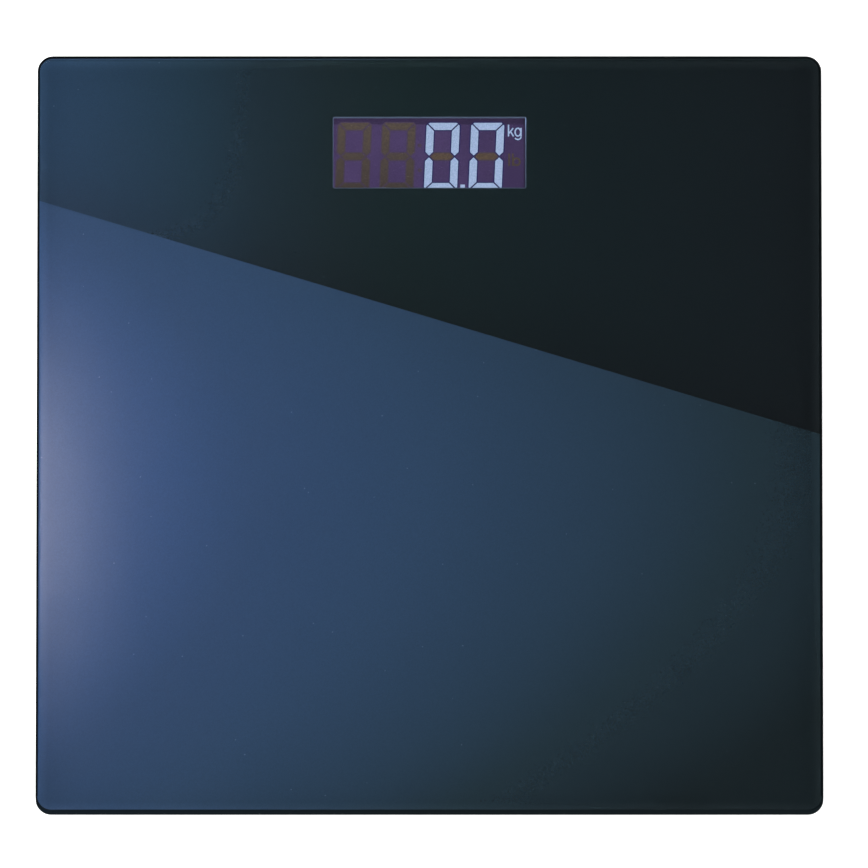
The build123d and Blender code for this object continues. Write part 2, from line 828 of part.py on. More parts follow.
# Contacts: one bridge on the left, two plates with solder ears on the right
with BuildPart() as battery_contacts:
    contact_rows = (front_battery_y, rear_battery_y)
    with BuildSketch(level(battery_height - contact_size / 2)):
        with Locations((contact_thickness / 2 - bay_half_length, (front_battery_y + rear_battery_y) / 2)):
            Rectangle(contact_thickness, rear_battery_y - front_battery_y + contact_size)
        with Locations(*[(bay_half_length - contact_thickness / 2, y) for y in contact_rows]):
            Rectangle(contact_thickness, contact_size)
    extrude(amount=contact_size)
    ear_length = contact_thickness + bay_wall + contact_ear_reach
    ear_end = bay_half_length + bay_wall + contact_ear_reach
    with BuildSketch(level(board_lead_height - contact_thickness / 2)):
        with Locations(*[(ear_end - ear_length / 2, y) for y in contact_rows]):
            Rectangle(ear_length, contact_ear_width)
    extrude(amount=contact_thickness)
save(battery_contacts, "battery_contacts")


def coil_state(turn, way):
    """Point and direction on a tapering coil along X after a number of turns."""
    share = turn / spring_turns
    angle = 2 * pi * turn
    lead_in = touch_gap + spring_wire / 2
    reach = spring_length - 2 * lead_in
    radius = spring_base_radius + (spring_tip_radius - spring_base_radius) * share
    slope = (spring_tip_radius - spring_base_radius) / (2 * pi * spring_turns)
    point = Vector(way * (lead_in + reach * share), radius * cos(angle), radius * sin(angle))
    heading = Vector(
        way * reach / (2 * pi * spring_turns),
        slope * cos(angle) - radius * sin(angle),
        slope * sin(angle) + radius * cos(angle),
    )
    return point, heading.normalized()


def coil_path(base, way):
    """Coil made of pairs of arcs that meet in a common tangent."""
    with BuildLine() as coil:
        for step in range(spring_turns * arcs_per_turn):
            start, leaving = coil_state(step / arcs_per_turn, way)
            end, arriving = coil_state((step + 1) / arcs_per_turn, way)
            chord = end - start
            bulge = 2 * (1 - leaving.dot(arriving))
            pull = chord.dot(leaving + arriving)
            reach = ((pull**2 + bulge * chord.dot(chord)) ** 0.5 - pull) / bulge
            first = base + start + leaving * reach
            second = base + end - arriving * reach
            meeting = (first + second) * 0.5
            TangentArc(base + start, meeting, tangent=leaving)
            TangentArc(meeting, base + end, tangent=second - first)
    return coil.wire()


# Springs: steel coils that press the batteries against the plates
with BuildPart() as battery_springs:
    for y, way in ((front_battery_y, 1), (rear_battery_y, -1)):
        seat = Vector(-way * (bay_half_length - contact_thickness), y, battery_height)
        path = coil_path(seat, way)
        with BuildSketch(Plane(origin=path @ 0, z_dir=path % 0)):
            Circle(spring_wire / 2)
        sweep(path=path)
save(battery_springs, "battery_springs")
turn_gap = (coil_state(1, 1)[0] - coil_state(0, 1)[0]).length - spring_wire
print(f"spring: least gap between turns {turn_gap:.2f} mm")

# Battery leads: from the ears of the contacts to the board
with BuildPart() as battery_leads:
    for row, y in enumerate((rear_battery_y, front_battery_y)):
        corner_x = ear_end + battery_lead_turn + touch_gap + row * battery_lead_spacing
        with BuildLine() as lead_line:
            FilletPolyline(
                (ear_end, y, board_lead_height),
                (corner_x, y, board_lead_height),
                (corner_x, frame_front - part_clearance, board_lead_height),
                radius=battery_lead_turn,
            )
        add_wire(lead_line.wire())
save(battery_leads, "battery_leads")

# Pod cover: the flat bottom of the pod, open for the battery door and the button
door_rail_height = door_top - door_tongue_thickness - slide_clearance
with BuildPart() as pod_cover:
    with BuildSketch(level(pod_bottom, pod_middle)):
        RectangleRounded(2 * pod_half_width, pod_depth, pod_corner_radius)
    extrude(amount=cover_thickness)
    fillet(pod_cover.faces().sort_by(Axis.Z)[0].edges(), cover_edge_radius)
    with BuildSketch(level(cover_top)):
        with Locations(*cover_posts):
            Circle(cover_post_radius)
    extrude(amount=cover_boss_height)
    opening_depth = door_rear + slide_clearance - pod_front
    opening_y = pod_front + opening_depth / 2
    with BuildSketch(level(pod_bottom, opening_y)):
        Rectangle(2 * (door_half_width + slide_clearance), opening_depth)
    extrude(amount=cover_thickness, mode=Mode.SUBTRACT)
    with BuildSketch(level(door_rail_height, opening_y)):
        Rectangle(2 * (door_half_width + door_tongue_width + slide_clearance), opening_depth)
    extrude(amount=cover_top - door_rail_height, mode=Mode.SUBTRACT)
    cut_holes(
        level(pod_bottom, button_y, button_x),
        [(0, 0)],
        button_diameter / 2 + slide_clearance,
        cover_thickness,
    )
    cut_holes(
        level(pod_bottom),
        cover_posts,
        screw_head_diameter / 2 + fit_clearance / 2,
        pod_screw_recess + screw_head_height,
    )
    cut_holes(
        level(pod_bottom),
        cover_posts,
        screw_diameter / 2 + fit_clearance / 2,
        cover_thickness + cover_boss_height,
    )
save(pod_cover, "pod_cover")

with BuildPart() as pod_screws:
    add_screws(
        level(pod_bottom + pod_screw_recess + screw_head_height),
        cover_posts,
        screw_head_diameter,
        screw_length,
    )
save(pod_screws, "pod_screws")

# Battery door: slides out to the front on its two tongues, with grip grooves under it
door_depth = door_rear - pod_front
with BuildPart() as battery_door:
    with BuildSketch(level(pod_bottom, pod_front + door_depth / 2)):
        Rectangle(2 * door_half_width, door_depth)
    extrude(amount=door_thickness)
    with BuildSketch(level(door_top - door_tongue_thickness, pod_front + door_depth / 2)):
        Rectangle(2 * (door_half_width + door_tongue_width), door_depth)
    extrude(amount=door_tongue_thickness)
    with BuildSketch(level(pod_bottom, pod_front + door_depth / 2)):
        with GridLocations(grip_length, grip_pitch, 1, grip_count):
            SlotOverall(grip_length, grip_width)
    extrude(amount=grip_depth, mode=Mode.SUBTRACT)
save(battery_door, "battery_door")
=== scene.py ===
from math import cos, pi, radians, sin, tan

import bmesh
import bpy
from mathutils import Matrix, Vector


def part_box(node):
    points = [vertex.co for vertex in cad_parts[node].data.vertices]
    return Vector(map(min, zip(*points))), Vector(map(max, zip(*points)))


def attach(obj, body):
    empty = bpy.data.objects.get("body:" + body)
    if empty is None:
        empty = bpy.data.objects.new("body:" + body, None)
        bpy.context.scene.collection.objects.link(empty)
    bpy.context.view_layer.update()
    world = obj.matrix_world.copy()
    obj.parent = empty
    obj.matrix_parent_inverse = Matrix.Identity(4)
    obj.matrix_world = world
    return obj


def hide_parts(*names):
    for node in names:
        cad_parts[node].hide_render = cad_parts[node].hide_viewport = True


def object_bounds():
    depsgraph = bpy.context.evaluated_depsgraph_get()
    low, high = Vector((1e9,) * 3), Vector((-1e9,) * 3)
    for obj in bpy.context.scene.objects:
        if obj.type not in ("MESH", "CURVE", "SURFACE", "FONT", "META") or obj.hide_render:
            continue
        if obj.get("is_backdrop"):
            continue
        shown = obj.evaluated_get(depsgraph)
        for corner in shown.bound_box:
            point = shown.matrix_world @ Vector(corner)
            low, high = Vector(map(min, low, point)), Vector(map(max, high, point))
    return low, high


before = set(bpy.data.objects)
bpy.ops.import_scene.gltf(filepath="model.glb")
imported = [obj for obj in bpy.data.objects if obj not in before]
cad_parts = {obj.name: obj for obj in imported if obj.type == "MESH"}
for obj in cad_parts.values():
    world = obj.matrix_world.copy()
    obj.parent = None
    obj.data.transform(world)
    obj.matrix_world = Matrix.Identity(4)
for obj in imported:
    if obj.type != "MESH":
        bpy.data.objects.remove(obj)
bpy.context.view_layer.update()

# Glass plate: one sheet of toughened clear glass, cut square with small corner radii. Its edges are
# ground to a matt flat with two narrow bevels. With a narrow land beside the upper bevel they read as
# a thin dark line from above. Their colour holds painted light: lighter where the edge faces the
# front, and lighter and bluish at the left where the edge is seen from inside the plate.
MM = 0.001
plate_low, plate_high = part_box("glass_platform")
half_x = (plate_high.x - plate_low.x) / 2
half_y = (plate_high.y - plate_low.y) / 2
plate_radius = 6.0 * MM
plate_bevel = 0.6 * MM
arris = 0.15 * MM
edge_land = 0.35 * MM
land_shift_x, land_shift_y = -0.10 * MM, -0.18 * MM
ink_bond = 0.02 * MM
flat_margin = 2.0 * MM
glass_tint = (0.96, 0.985, 0.98)
wiped_gloss = (0.0, 0.035)
edge_tint = (0.7, 0.8, 0.8)
# Painted light: the side of the edge that faces the front is painted a lighter tone.
front_edge_painted_light_tones = ((0.0, (0.0060, 0.0098, 0.0135)), (0.5, (0.0056, 0.0088, 0.0105)))
front_normal_start, front_normal_end = -0.35, -0.70
# Painted light: the edge seen from inside the plate is painted lighter, bluish at the left.
inside_edge_painted_light_tones = (
    (0.1, (0.0255, 0.047, 0.088)),
    (0.32, (0.0237, 0.042, 0.0645)),
    (0.5, (0.0180, 0.027, 0.0320)),
    (0.8, (0.0107, 0.016, 0.0184)),
)


def eased(points, radius, steps=4):
    """An open outline with each of its inner corners rounded by a short curve."""
    side_share = 0.45
    soft = [Vector(points[0])]
    for before, corner, after in zip(points, points[1:], points[2:]):
        corner = Vector(corner)
        inward = Vector(before) - corner
        onward = Vector(after) - corner
        reach = min(radius, side_share * inward.length, side_share * onward.length)
        start = corner + inward.normalized() * reach
        end = corner + onward.normalized() * reach
        for step in range(steps + 1):
            share = step / steps
            soft.append(start * (1 - share) ** 2 + corner * 2 * share * (1 - share) + end * share**2)
    soft.append(Vector(points[-1]))
    return soft


def rounded_loop(reach_x, reach_y, radius, steps=12):
    """Plan points of a rectangle with round corners, anticlockwise."""
    loop = []
    for quarter, (sx, sy) in enumerate(((1, 1), (-1, 1), (-1, -1), (1, -1))):
        for step in range(steps + 1):
            turn = (quarter + step / steps) * pi / 2
            x = sx * (reach_x - radius) + radius * cos(turn)
            y = sy * (reach_y - radius) + radius * sin(turn)
            loop.append((x, y))
    return loop


def walls(levels, count, joined=False, start=0):
    """The faces between neighbouring loops of equal length. Joined loops close to a ring."""
    faces = []
    for level in range(levels if joined else levels - 1):
        first = start + level * count
        second = start + (level + 1) % levels * count
        for i in range(count):
            j = (i + 1) % count
            faces.append([first + i, first + j, second + j, second + i])
    return faces


def end_faces(start, end, count):
    """The two flat faces that close a row of loops, from its first point to its last."""
    return [list(range(start, start + count))[::-1], list(range(end - count, end))]


def piece(name, points, faces):
    """A new mesh object with its faces turned outwards."""
    mesh = bpy.data.meshes.new(name)
    mesh.from_pydata([tuple(point) for point in points], [], faces)
    mesh.validate()
    shape = bmesh.new()
    shape.from_mesh(mesh)
    bmesh.ops.recalc_face_normals(shape, faces=shape.faces)
    shape.to_mesh(mesh)
    shape.free()
    made = bpy.data.objects.new(name, mesh)
    bpy.context.scene.collection.objects.link(made)
    return made


def stacked(name, loops):
    """A closed body through loops of equal length, with a flat face at each end."""
    count = len(loops[0])
    points = [point for loop in loops for point in loop]
    return piece(name, points, end_faces(0, len(points), count) + walls(len(loops), count))


def join(tree, value, socket):
    """Links a socket to the output of another node, or sets its plain value."""
    if isinstance(value, bpy.types.NodeSocket):
        tree.links.new(value, socket)
    else:
        socket.default_value = value


def node_maker(tree):
    """A function that adds one node to a tree, with its settings and sockets."""

    def node(kind, sockets=None, **settings):
        new = tree.nodes.new("ShaderNode" + kind)
        for key, value in settings.items():
            setattr(new, key, value)
        for key, value in (sockets or {}).items():
            join(tree, value, new.inputs[key])
        return new

    return node


def blank(name):
    """A new material with one principled shader, and the maker of its nodes."""
    made = bpy.data.materials.new(name)
    made.use_nodes = True
    return made, node_maker(made.node_tree)


def shade(made, **sockets):
    """Sets or links sockets of the principled shader of a material."""
    shader = made.node_tree.nodes["Principled BSDF"]
    for key, value in sockets.items():
        join(made.node_tree, value, shader.inputs[key.replace("_", " ")])


def object_place(node):
    """The place of each point in the frame of its object, in metres."""
    return node("TexCoord").outputs["Object"]


def parts_of(node, vector):
    """The X, Y and Z of a place or a direction."""
    return node("SeparateXYZ", {"Vector": vector}).outputs


def ranged(node, value, start, end, low=0.0, high=1.0):
    """How far a value has come from a start to an end, carried over to low and high."""
    limits = {"From Min": start, "From Max": end, "To Min": low, "To Max": high}
    return node("MapRange", {"Value": value, **limits}).outputs["Result"]


def noise(node, place, scale, detail, roughness=0.5):
    """A cloudy pattern, with its scale in spots per metre."""
    sockets = {"Vector": place, "Scale": scale, "Detail": detail, "Roughness": roughness}
    return node("TexNoise", sockets).outputs["Fac"]


def tones(node, share, *stops, blend="LINEAR"):
    """A row of colours, each with its place, read off at a share from 0 to 1."""
    ramp = node("ValToRGB", {"Fac": share})
    row = ramp.color_ramp
    row.interpolation = blend
    row.elements.remove(row.elements[1])
    row.elements[0].position = stops[0][0]
    row.elements[0].color = (*stops[0][1], 1)
    for at, colour in stops[1:]:
        row.elements.new(at).color = (*colour, 1)
    return ramp.outputs["Color"]


def blended(node, share, first, second):
    """The first colour, changed into the second as far as the share says."""
    return node("Mix", {0: share, 6: first, 7: second}, data_type="RGBA").outputs[2]


def clear_where(made, node, share, tint=(1, 1, 1)):
    """Makes a finish clear as far as the share says, with a tint for the light that passes."""
    tree = made.node_tree
    shader = tree.nodes["Principled BSDF"]
    clear = node("BsdfTransparent", {"Color": (*tint, 1)})
    mixed = node("MixShader", {"Fac": share, 1: shader.outputs["BSDF"], 2: clear.outputs["BSDF"]})
    join(tree, mixed.outputs["Shader"], tree.nodes["Material Output"].inputs["Surface"])


def grained(
    name, colour, shade_colour, patch, rough, grain, relief, metal=0.0, stretch=(1, 1, 1), shine=0.5
):
    """A finish with two close colours in patches, a grain in its gloss and a fine relief, in mm."""
    made, node = blank(name)
    run = node("Mapping", {"Vector": object_place(node), "Scale": stretch}).outputs["Vector"]
    patches = noise(node, run, scale=1 / (patch * MM), detail=3.0, roughness=0.6)
    grains = noise(node, run, scale=1 / (grain * MM), detail=2.0, roughness=0.55)
    bump = node("Bump", {"Height": grains, "Strength": 0.6, "Distance": relief * MM})
    shade(
        made,
        Base_Color=tones(node, patches, (0.32, shade_colour), (0.68, colour)),
        Roughness=ranged(node, grains, 0.3, 0.7, *rough),
        Metallic=metal,
        Specular_IOR_Level=shine,
        Normal=bump.outputs["Normal"],
    )
    return made


plate_glass, node = blank("plate_glass")
wipe_marks = noise(node, object_place(node), scale=22.0, detail=4.0, roughness=0.6)
shade(
    plate_glass,
    Base_Color=(*glass_tint, 1),
    Transmission_Weight=1.0,
    IOR=1.52,
    Roughness=ranged(node, wipe_marks, 0.35, 0.75, *wiped_gloss),
)
clear_where(plate_glass, node, node("LightPath").outputs["Is Shadow Ray"], glass_tint)

ground_edge = grained(
    "ground_glass_edge", (0.0040, 0.0055, 0.0065), (0.0020, 0.0030, 0.0035),
    patch=5.0, rough=(0.45, 0.6), grain=0.5, relief=0.01, stretch=(1, 1, 6), shine=0.0,
)
node = node_maker(ground_edge.node_tree)
clear_where(ground_edge, node, node("LightPath").outputs["Is Shadow Ray"], edge_tint)
facing = node("NewGeometry").outputs
painted_front_light = ranged(node, parts_of(node, facing["Normal"])["Y"], front_normal_start, front_normal_end)
across = ranged(node, parts_of(node, object_place(node))["X"], -half_x, half_x)
edge_shader = ground_edge.node_tree.nodes["Principled BSDF"]
edge_colour = edge_shader.inputs["Base Color"].links[0].from_socket
# Painted light: a lighter tone where the edge faces the front.
edge_colour = blended(node, painted_front_light, edge_colour, tones(node, across, *front_edge_painted_light_tones))
# Painted light: a lighter tone, fading from left to right, where the edge is seen from inside the
# plate.
painted_inside_light = tones(node, across, *inside_edge_painted_light_tones)
shade(ground_edge, Base_Color=blended(node, facing["Backfacing"], edge_colour, painted_inside_light))

rim_cut = eased(
    [
        (plate_bevel, plate_low.z),
        (0.0, plate_low.z + plate_bevel),
        (0.0, plate_high.z - plate_bevel),
        (plate_bevel, plate_high.z),
        (plate_bevel + edge_land, plate_high.z),
    ],
    arris,
)
rim_cut.insert(0, Vector((plate_bevel, plate_low.z - ink_bond)))
rim_cut.append(Vector((plate_bevel + flat_margin, plate_high.z)))
plate_loops = [
    [(x, y, height) for x, y in rounded_loop(half_x - in_by, half_y - in_by, plate_radius - in_by)]
    for in_by, height in rim_cut
]
plate_loops[-2] = [(x + land_shift_x, y + land_shift_y, height) for x, y, height in plate_loops[-2]]
glass_plate = stacked("glass_plate", plate_loops)
glass_plate.data.materials.append(plate_glass)
glass_plate.data.materials.append(ground_edge)
for face in glass_plate.data.polygons:
    level = (face.index - 2) // len(plate_loops[0])
    reach = (rim_cut[level].x + rim_cut[level + 1].x) / 2 if level >= 0 else half_x
    at_front = face.center.y < plate_radius - half_y
    dark_reach = plate_bevel if at_front else plate_bevel + edge_land
    face.use_smooth = reach < plate_bevel
    face.material_index = 1 if reach < dark_reach else 0
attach(glass_plate, "scale_body")
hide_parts("glass_platform")

# Printed film: a metallic blue ink screened on the back of a film that is bonded under the glass, and
# a black coat that seals the back. Above a slanting edge the ink gives way to a painted dark
# reflection.
# The colours hold painted light: a falloff from the left, a painted glow along a low band, painted
# light near the rim and a thin painted shadow line along the rear.
slant_height = 46.8 * MM
slant = 0.3113
slant_soft = 0.25 * MM
# Painted light: the glow band and the falloff of the bright ink from the left.
painted_glow_y = -24.0 * MM
painted_glow_climb = 16.0 * MM
painted_falloff_across = 0.825
painted_glow_spread = 18.0
bright_ink_painted_light_tones = (
    (0.0, (0.0028, 0.0075, 0.0090)),
    (0.25, (0.0080, 0.0192, 0.0272)),
    (0.4, (0.0120, 0.0284, 0.0510)),
    (0.6, (0.0160, 0.037, 0.076)),
    (0.77, (0.0170, 0.0388, 0.0885)),
    (0.87, (0.0186, 0.0442, 0.1120)),
    (1.0, (0.020, 0.047, 0.127)),
)
# Painted reflection: the dark tones above the slant, also falling off from the left.
painted_reflection_tones = (
    (0.0, (0.0135, 0.034, 0.070)),
    (0.197, (0.0077, 0.0218, 0.0365)),
    (0.283, (0.0057, 0.0148, 0.0215)),
    (0.373, (0.0041, 0.0111, 0.0137)),
    (0.463, (0.0027, 0.0094, 0.0103)),
    (0.667, (0.0018, 0.0066, 0.0080)),
    (0.967, (0.0017, 0.0045, 0.0057)),
)
# Painted shade: the painted reflection is darkest just above the slant.
shade_reach = 24.0 * MM
shade_decay = 0.368
shade_depth = 0.41
painted_reflection_gain = 1.03
flakes_per_metre = 2600.0
flake_tone = (0.91, 1.10)
flake_gloss = (0.22, 0.275)
# Painted light near the rim: the ink is lifted and given a painted glow there.
painted_lift_reach = 5.5 * MM
painted_lift_bend = 1.5
painted_lift_gain = 0.5
painted_edge_light_reach = 4.5 * MM
painted_edge_light_colour = (0.0074, 0.0080, 0.0084)
# Painted shadow: a thin darker line along the rear edge of the film.
rear_shadow_start, rear_shadow_end = 0.85 * MM, 1.15 * MM
rear_shadow_tone = 0.76


def maths(node, kind, first, second=0.0, third=0.0):
    """One sum in a material."""
    return node("Math", {0: first, 1: second, 2: third}, operation=kind).outputs["Value"]


def scaled(node, colour, level):
    """A colour made brighter or darker."""
    return node("VectorMath", {0: colour, "Scale": level}, operation="SCALE").outputs["Vector"]


def rim_margin(node, spot):
    """How far a point of the plan lies inside the outline of the plate with its round corners."""
    past_x = maths(node, "SUBTRACT", maths(node, "ABSOLUTE", spot["X"]), half_x - plate_radius)
    past_y = maths(node, "SUBTRACT", maths(node, "ABSOLUTE", spot["Y"]), half_y - plate_radius)
    in_corner = {"X": maths(node, "MAXIMUM", past_x, 0.0), "Y": maths(node, "MAXIMUM", past_y, 0.0)}
    corner = node("CombineXYZ", in_corner).outputs["Vector"]
    round_reach = node("VectorMath", {0: corner}, operation="LENGTH").outputs["Value"]
    straight_reach = maths(node, "MINIMUM", maths(node, "MAXIMUM", past_x, past_y), 0.0)
    return maths(node, "SUBTRACT", plate_radius, maths(node, "ADD", round_reach, straight_reach))


def ink_with_painted_light():
    """The bright ink and the painted dark reflection, parted by the slant, with flakes and painted
    light.
    """
    made, node = blank("ink_with_painted_light")
    place = object_place(node)
    spot = parts_of(node, place)
    climb = maths(node, "MULTIPLY_ADD", spot["X"], slant, spot["Y"])
    upper = ranged(node, climb, slant_height - slant_soft / 2, slant_height + slant_soft / 2)
    across = ranged(node, spot["X"], -half_x, half_x)

    # Painted light: the bright ink falls off from the left and away from a painted glow along a low
    # band.
    rise = maths(node, "SUBTRACT", spot["Y"], painted_glow_y)
    rise = maths(node, "MULTIPLY_ADD", across, -painted_glow_climb, rise)
    fade = maths(node, "MULTIPLY_ADD", across, -painted_falloff_across, 1.0)
    fade = maths(node, "MULTIPLY_ADD", maths(node, "MULTIPLY", rise, rise), -painted_glow_spread, fade)
    # Painted reflection above the slant, with painted shade just above the slant.
    from_slant = maths(node, "MAXIMUM", maths(node, "SUBTRACT", climb, slant_height), 0.0)
    slant_shade = maths(node, "POWER", shade_decay, maths(node, "DIVIDE", from_slant, shade_reach))
    painted_reflection_level = maths(node, "MULTIPLY_ADD", slant_shade, -shade_depth, painted_reflection_gain)
    painted_reflection = scaled(node, tones(node, across, *painted_reflection_tones), painted_reflection_level)
    ink = blended(node, upper, tones(node, fade, *bright_ink_painted_light_tones), painted_reflection)
    flakes = node("TexVoronoi", {"Vector": place, "Scale": flakes_per_metre}).outputs["Color"]
    ink = scaled(node, ink, ranged(node, flakes, 0.0, 1.0, *flake_tone))

    margin = rim_margin(node, spot)
    # Painted shadow: a thin darker line along the rear edge of the film.
    from_rear = maths(node, "SUBTRACT", half_y, spot["Y"])
    past_painted_shadow = ranged(node, from_rear, rear_shadow_start, rear_shadow_end)
    painted_shadow_level = ranged(node, from_rear, rear_shadow_start, rear_shadow_end, rear_shadow_tone, 1.0)
    # Painted light: the ink is lifted and lit near the rim.
    lift = maths(node, "POWER", ranged(node, margin, painted_lift_reach, 0.0), painted_lift_bend)
    lift = maths(node, "MULTIPLY_ADD", lift, painted_lift_gain, 1.0)
    ink = scaled(node, ink, maths(node, "MULTIPLY", lift, painted_shadow_level))
    painted_rim_light = maths(node, "MULTIPLY", ranged(node, margin, painted_edge_light_reach, 0.0), past_painted_shadow)
    painted_rim_glow = scaled(node, painted_edge_light_colour, painted_rim_light)
    ink = node("VectorMath", {0: ink, 1: painted_rim_glow}, operation="ADD").outputs["Vector"]

    tilt = node("Bump", {"Height": flakes, "Strength": 0.08, "Distance": 0.02 * MM})
    shade(
        made,
        Base_Color=ink,
        Roughness=ranged(node, flakes, 0.0, 1.0, *flake_gloss),
        IOR=1.58,
        Specular_Tint=(0.88, 0.84, 1.0, 1),
        Normal=tilt.outputs["Normal"],
    )
    return made


def dress(name, *finishes):
    """Gives a CAD node its finishes, the first one all over."""
    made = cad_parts[name]
    made.data.materials.clear()
    for each in finishes:
        made.data.materials.append(each)
    for face in made.data.polygons:
        face.material_index = 0
    return made


back_coat = grained(
    "black_back_coat", (0.020, 0.021, 0.023), (0.012, 0.013, 0.014),
    patch=30.0, rough=(0.45, 0.62), grain=0.35, relief=0.02,
)
film = dress("printed_film", back_coat, ink_with_painted_light())
for face in film.data.polygons:
    face.material_index = 1 if face.normal.z > 0.5 else 0

# Window line: a thin pale line screened on the glass just inside the cut of the film. It frames the
# clear window and hides the cut edge. Its tone holds painted light, lighter towards the top, and a
# painted glint on the right line.
window_half_x = 37.0 * MM
window_half_y = 14.25 * MM
window_y = 112.5 * MM
window_radius = 0.8 * MM
line_lap = 0.05 * MM
line_left, line_right, line_bottom, line_top = 0.3 * MM, 0.45 * MM, 0.3 * MM, 0.6 * MM
line_radius = 0.3 * MM
line_height = 0.012 * MM
line_wear = 3.0 * MM
# Painted light: the line is lighter towards the top.
line_painted_light_span = (97.5 * MM, 128.5 * MM)
line_painted_light_tones = (
    (0.0, (0.026, 0.042, 0.070)),
    (0.33, (0.031, 0.044, 0.076)),
    (0.6, (0.044, 0.060, 0.105)),
    (1.0, (0.044, 0.062, 0.108)),
)
# Painted highlight: a glint on the right line, strongest near the top.
glint_width = 0.5 * MM
glint_rise = (106.0 * MM, 125.0 * MM)
glint_bend = 3.0
glint_gain = 1.8
cut_left, cut_right = -window_half_x - line_lap, window_half_x + line_lap
cut_bottom, cut_top = window_y - window_half_y - line_lap, window_y + window_half_y + line_lap
film_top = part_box("printed_film")[1].z


def frame_ring(name, rows):
    """A closed frame through rounded boxes. A row holds a box, its corner radius and its height."""
    loops = []
    for (left, bottom, right, top), radius, height in rows:
        plan = rounded_loop((right - left) / 2, (top - bottom) / 2, radius, steps=6)
        loops.append([((left + right) / 2 + x, (bottom + top) / 2 + y, height) for x, y in plan])
    points = [point for loop in loops for point in loop]
    return piece(name, points, walls(len(loops), len(loops[0]), joined=True))


def pale_line_ink():
    """A pale ink with painted light, darker towards the foot, and a painted glint on the right line.
    """
    made, node = blank("pale_window_line")
    place = object_place(node)
    spot = parts_of(node, place)
    worn = noise(node, place, scale=160.0, detail=3.0)
    climb = maths(node, "MULTIPLY_ADD", worn, line_wear, spot["Y"])
    # Painted highlight: a glint on the right line, strongest near the top.
    beside = maths(node, "GREATER_THAN", spot["X"], cut_right - glint_width)
    glint = maths(node, "POWER", ranged(node, spot["Y"], *glint_rise), glint_bend)
    glint = maths(node, "MULTIPLY_ADD", maths(node, "MULTIPLY", glint, beside), glint_gain, 1.0)
    # Painted light: lighter towards the top.
    ink = tones(node, ranged(node, climb, *line_painted_light_span), *line_painted_light_tones)
    shade(made, Base_Color=scaled(node, ink, glint), Roughness=0.45)
    return made


line_outside = (cut_left, cut_bottom, cut_right, cut_top)
line_inside = (
    cut_left + line_left, cut_bottom + line_bottom, cut_right - line_right, cut_top - line_top
)
window_line = frame_ring(
    "window_line",
    [
        (line_inside, line_radius, film_top),
        (line_outside, window_radius, film_top),
        (line_outside, window_radius, film_top + line_height),
        (line_inside, line_radius, film_top + line_height),
    ],
)
window_line.data.materials.append(pale_line_ink())
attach(window_line, "scale_body")

# Foot tapes: rings of closed-cell acrylic foam, die cut, that bond each foot housing to the film.
# The foam swells a little at its cut edge under the clamping load.
corners = ("front_left", "front_right", "rear_left", "rear_right")
tape_hole = 10.0 * MM
tape_swell = 0.25 * MM
tape_edge = 0.3 * MM
flat_face = 0.99
foam_tape = grained(
    "foam_tape", (0.72, 0.72, 0.69), (0.58, 0.58, 0.55),
    patch=1.2, rough=(0.75, 0.95), grain=0.25, relief=0.12,
)


def turned(name, middle, outline, bored=True, steps=96):
    """A body turned about an upright axis from an outline of radius and height. A body without a bore
    has an open outline, with a flat face at each end."""
    points = []
    for radius, height in outline:
        for step in range(steps):
            turn = 2 * pi * step / steps
            points.append((middle.x + radius * cos(turn), middle.y + radius * sin(turn), height))
    faces = walls(len(outline), steps, joined=bored)
    if not bored:
        faces += end_faces(0, len(points), steps)
    return piece(name, points, faces)


for corner in corners:
    low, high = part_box(f"foot_tape_{corner}")
    middle = (low + high) / 2
    reach = (high.x - low.x) / 2
    hole = [(tape_hole, high.z), (tape_hole - tape_swell, middle.z), (tape_hole, low.z)]
    rim = [(reach - tape_swell, low.z), (reach, middle.z), (reach - tape_swell, high.z)]
    tape = turned(f"foam_ring_{corner}", middle, eased(hole, tape_edge) + eased(rim, tape_edge))
    for face in tape.data.polygons:
        face.use_smooth = abs(face.normal.z) < flat_face
    tape.data.materials.append(foam_tape)
    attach(tape, "scale_body")
    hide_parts(f"foot_tape_{corner}")

# Foot housings, retaining rings and cups: injection moulded in black plastic with a spark-eroded
# texture. The housing is taped up, the ring is screwed under it, and the cup slides between them.
black_plastic = grained(
    "black_moulded_plastic", (0.021, 0.021, 0.023), (0.014, 0.014, 0.016),
    patch=18.0, rough=(0.42, 0.6), grain=0.45, relief=0.05,
)
black_cup = grained(
    "black_cup_plastic", (0.016, 0.016, 0.017), (0.010, 0.010, 0.011),
    patch=9.0, rough=(0.36, 0.52), grain=0.3, relief=0.03,
)
for corner in corners:
    dress(f"foot_housing_{corner}", black_plastic)
    dress(f"retaining_ring_{corner}", black_plastic)
    dress(f"foot_cup_{corner}", black_cup)

# Load cells: stamped from spring steel, tumbled and zinc plated, with a cut-out tongue that bends.
# White silicone is spread over the strain gauges at the root of the tongue.
plated_steel = grained(
    "plated_cell_steel", (0.62, 0.62, 0.63), (0.47, 0.48, 0.50),
    patch=4.0, rough=(0.24, 0.42), grain=0.35, relief=0.02, metal=1.0, stretch=(1, 8, 1),
)
white_silicone = grained(
    "white_silicone", (0.86, 0.86, 0.84), (0.76, 0.76, 0.73),
    patch=3.0, rough=(0.28, 0.42), grain=1.6, relief=0.15,
)
for corner in corners:
    dress(f"load_cell_{corner}", plated_steel)
dress("gauge_coatings", white_silicone)

# Screws: small pan heads with a cross recess, cold headed in steel and plated with bright zinc. They
# hold the load cells, the rings, the board and the cover.
bright_zinc = grained(
    "bright_zinc", (0.70, 0.70, 0.68), (0.54, 0.55, 0.56),
    patch=1.5, rough=(0.2, 0.38), grain=0.2, relief=0.015, metal=1.0,
)
for screws in ("ring_screws", "cell_screws", "board_screws", "pod_screws"):
    dress(screws, bright_zinc)

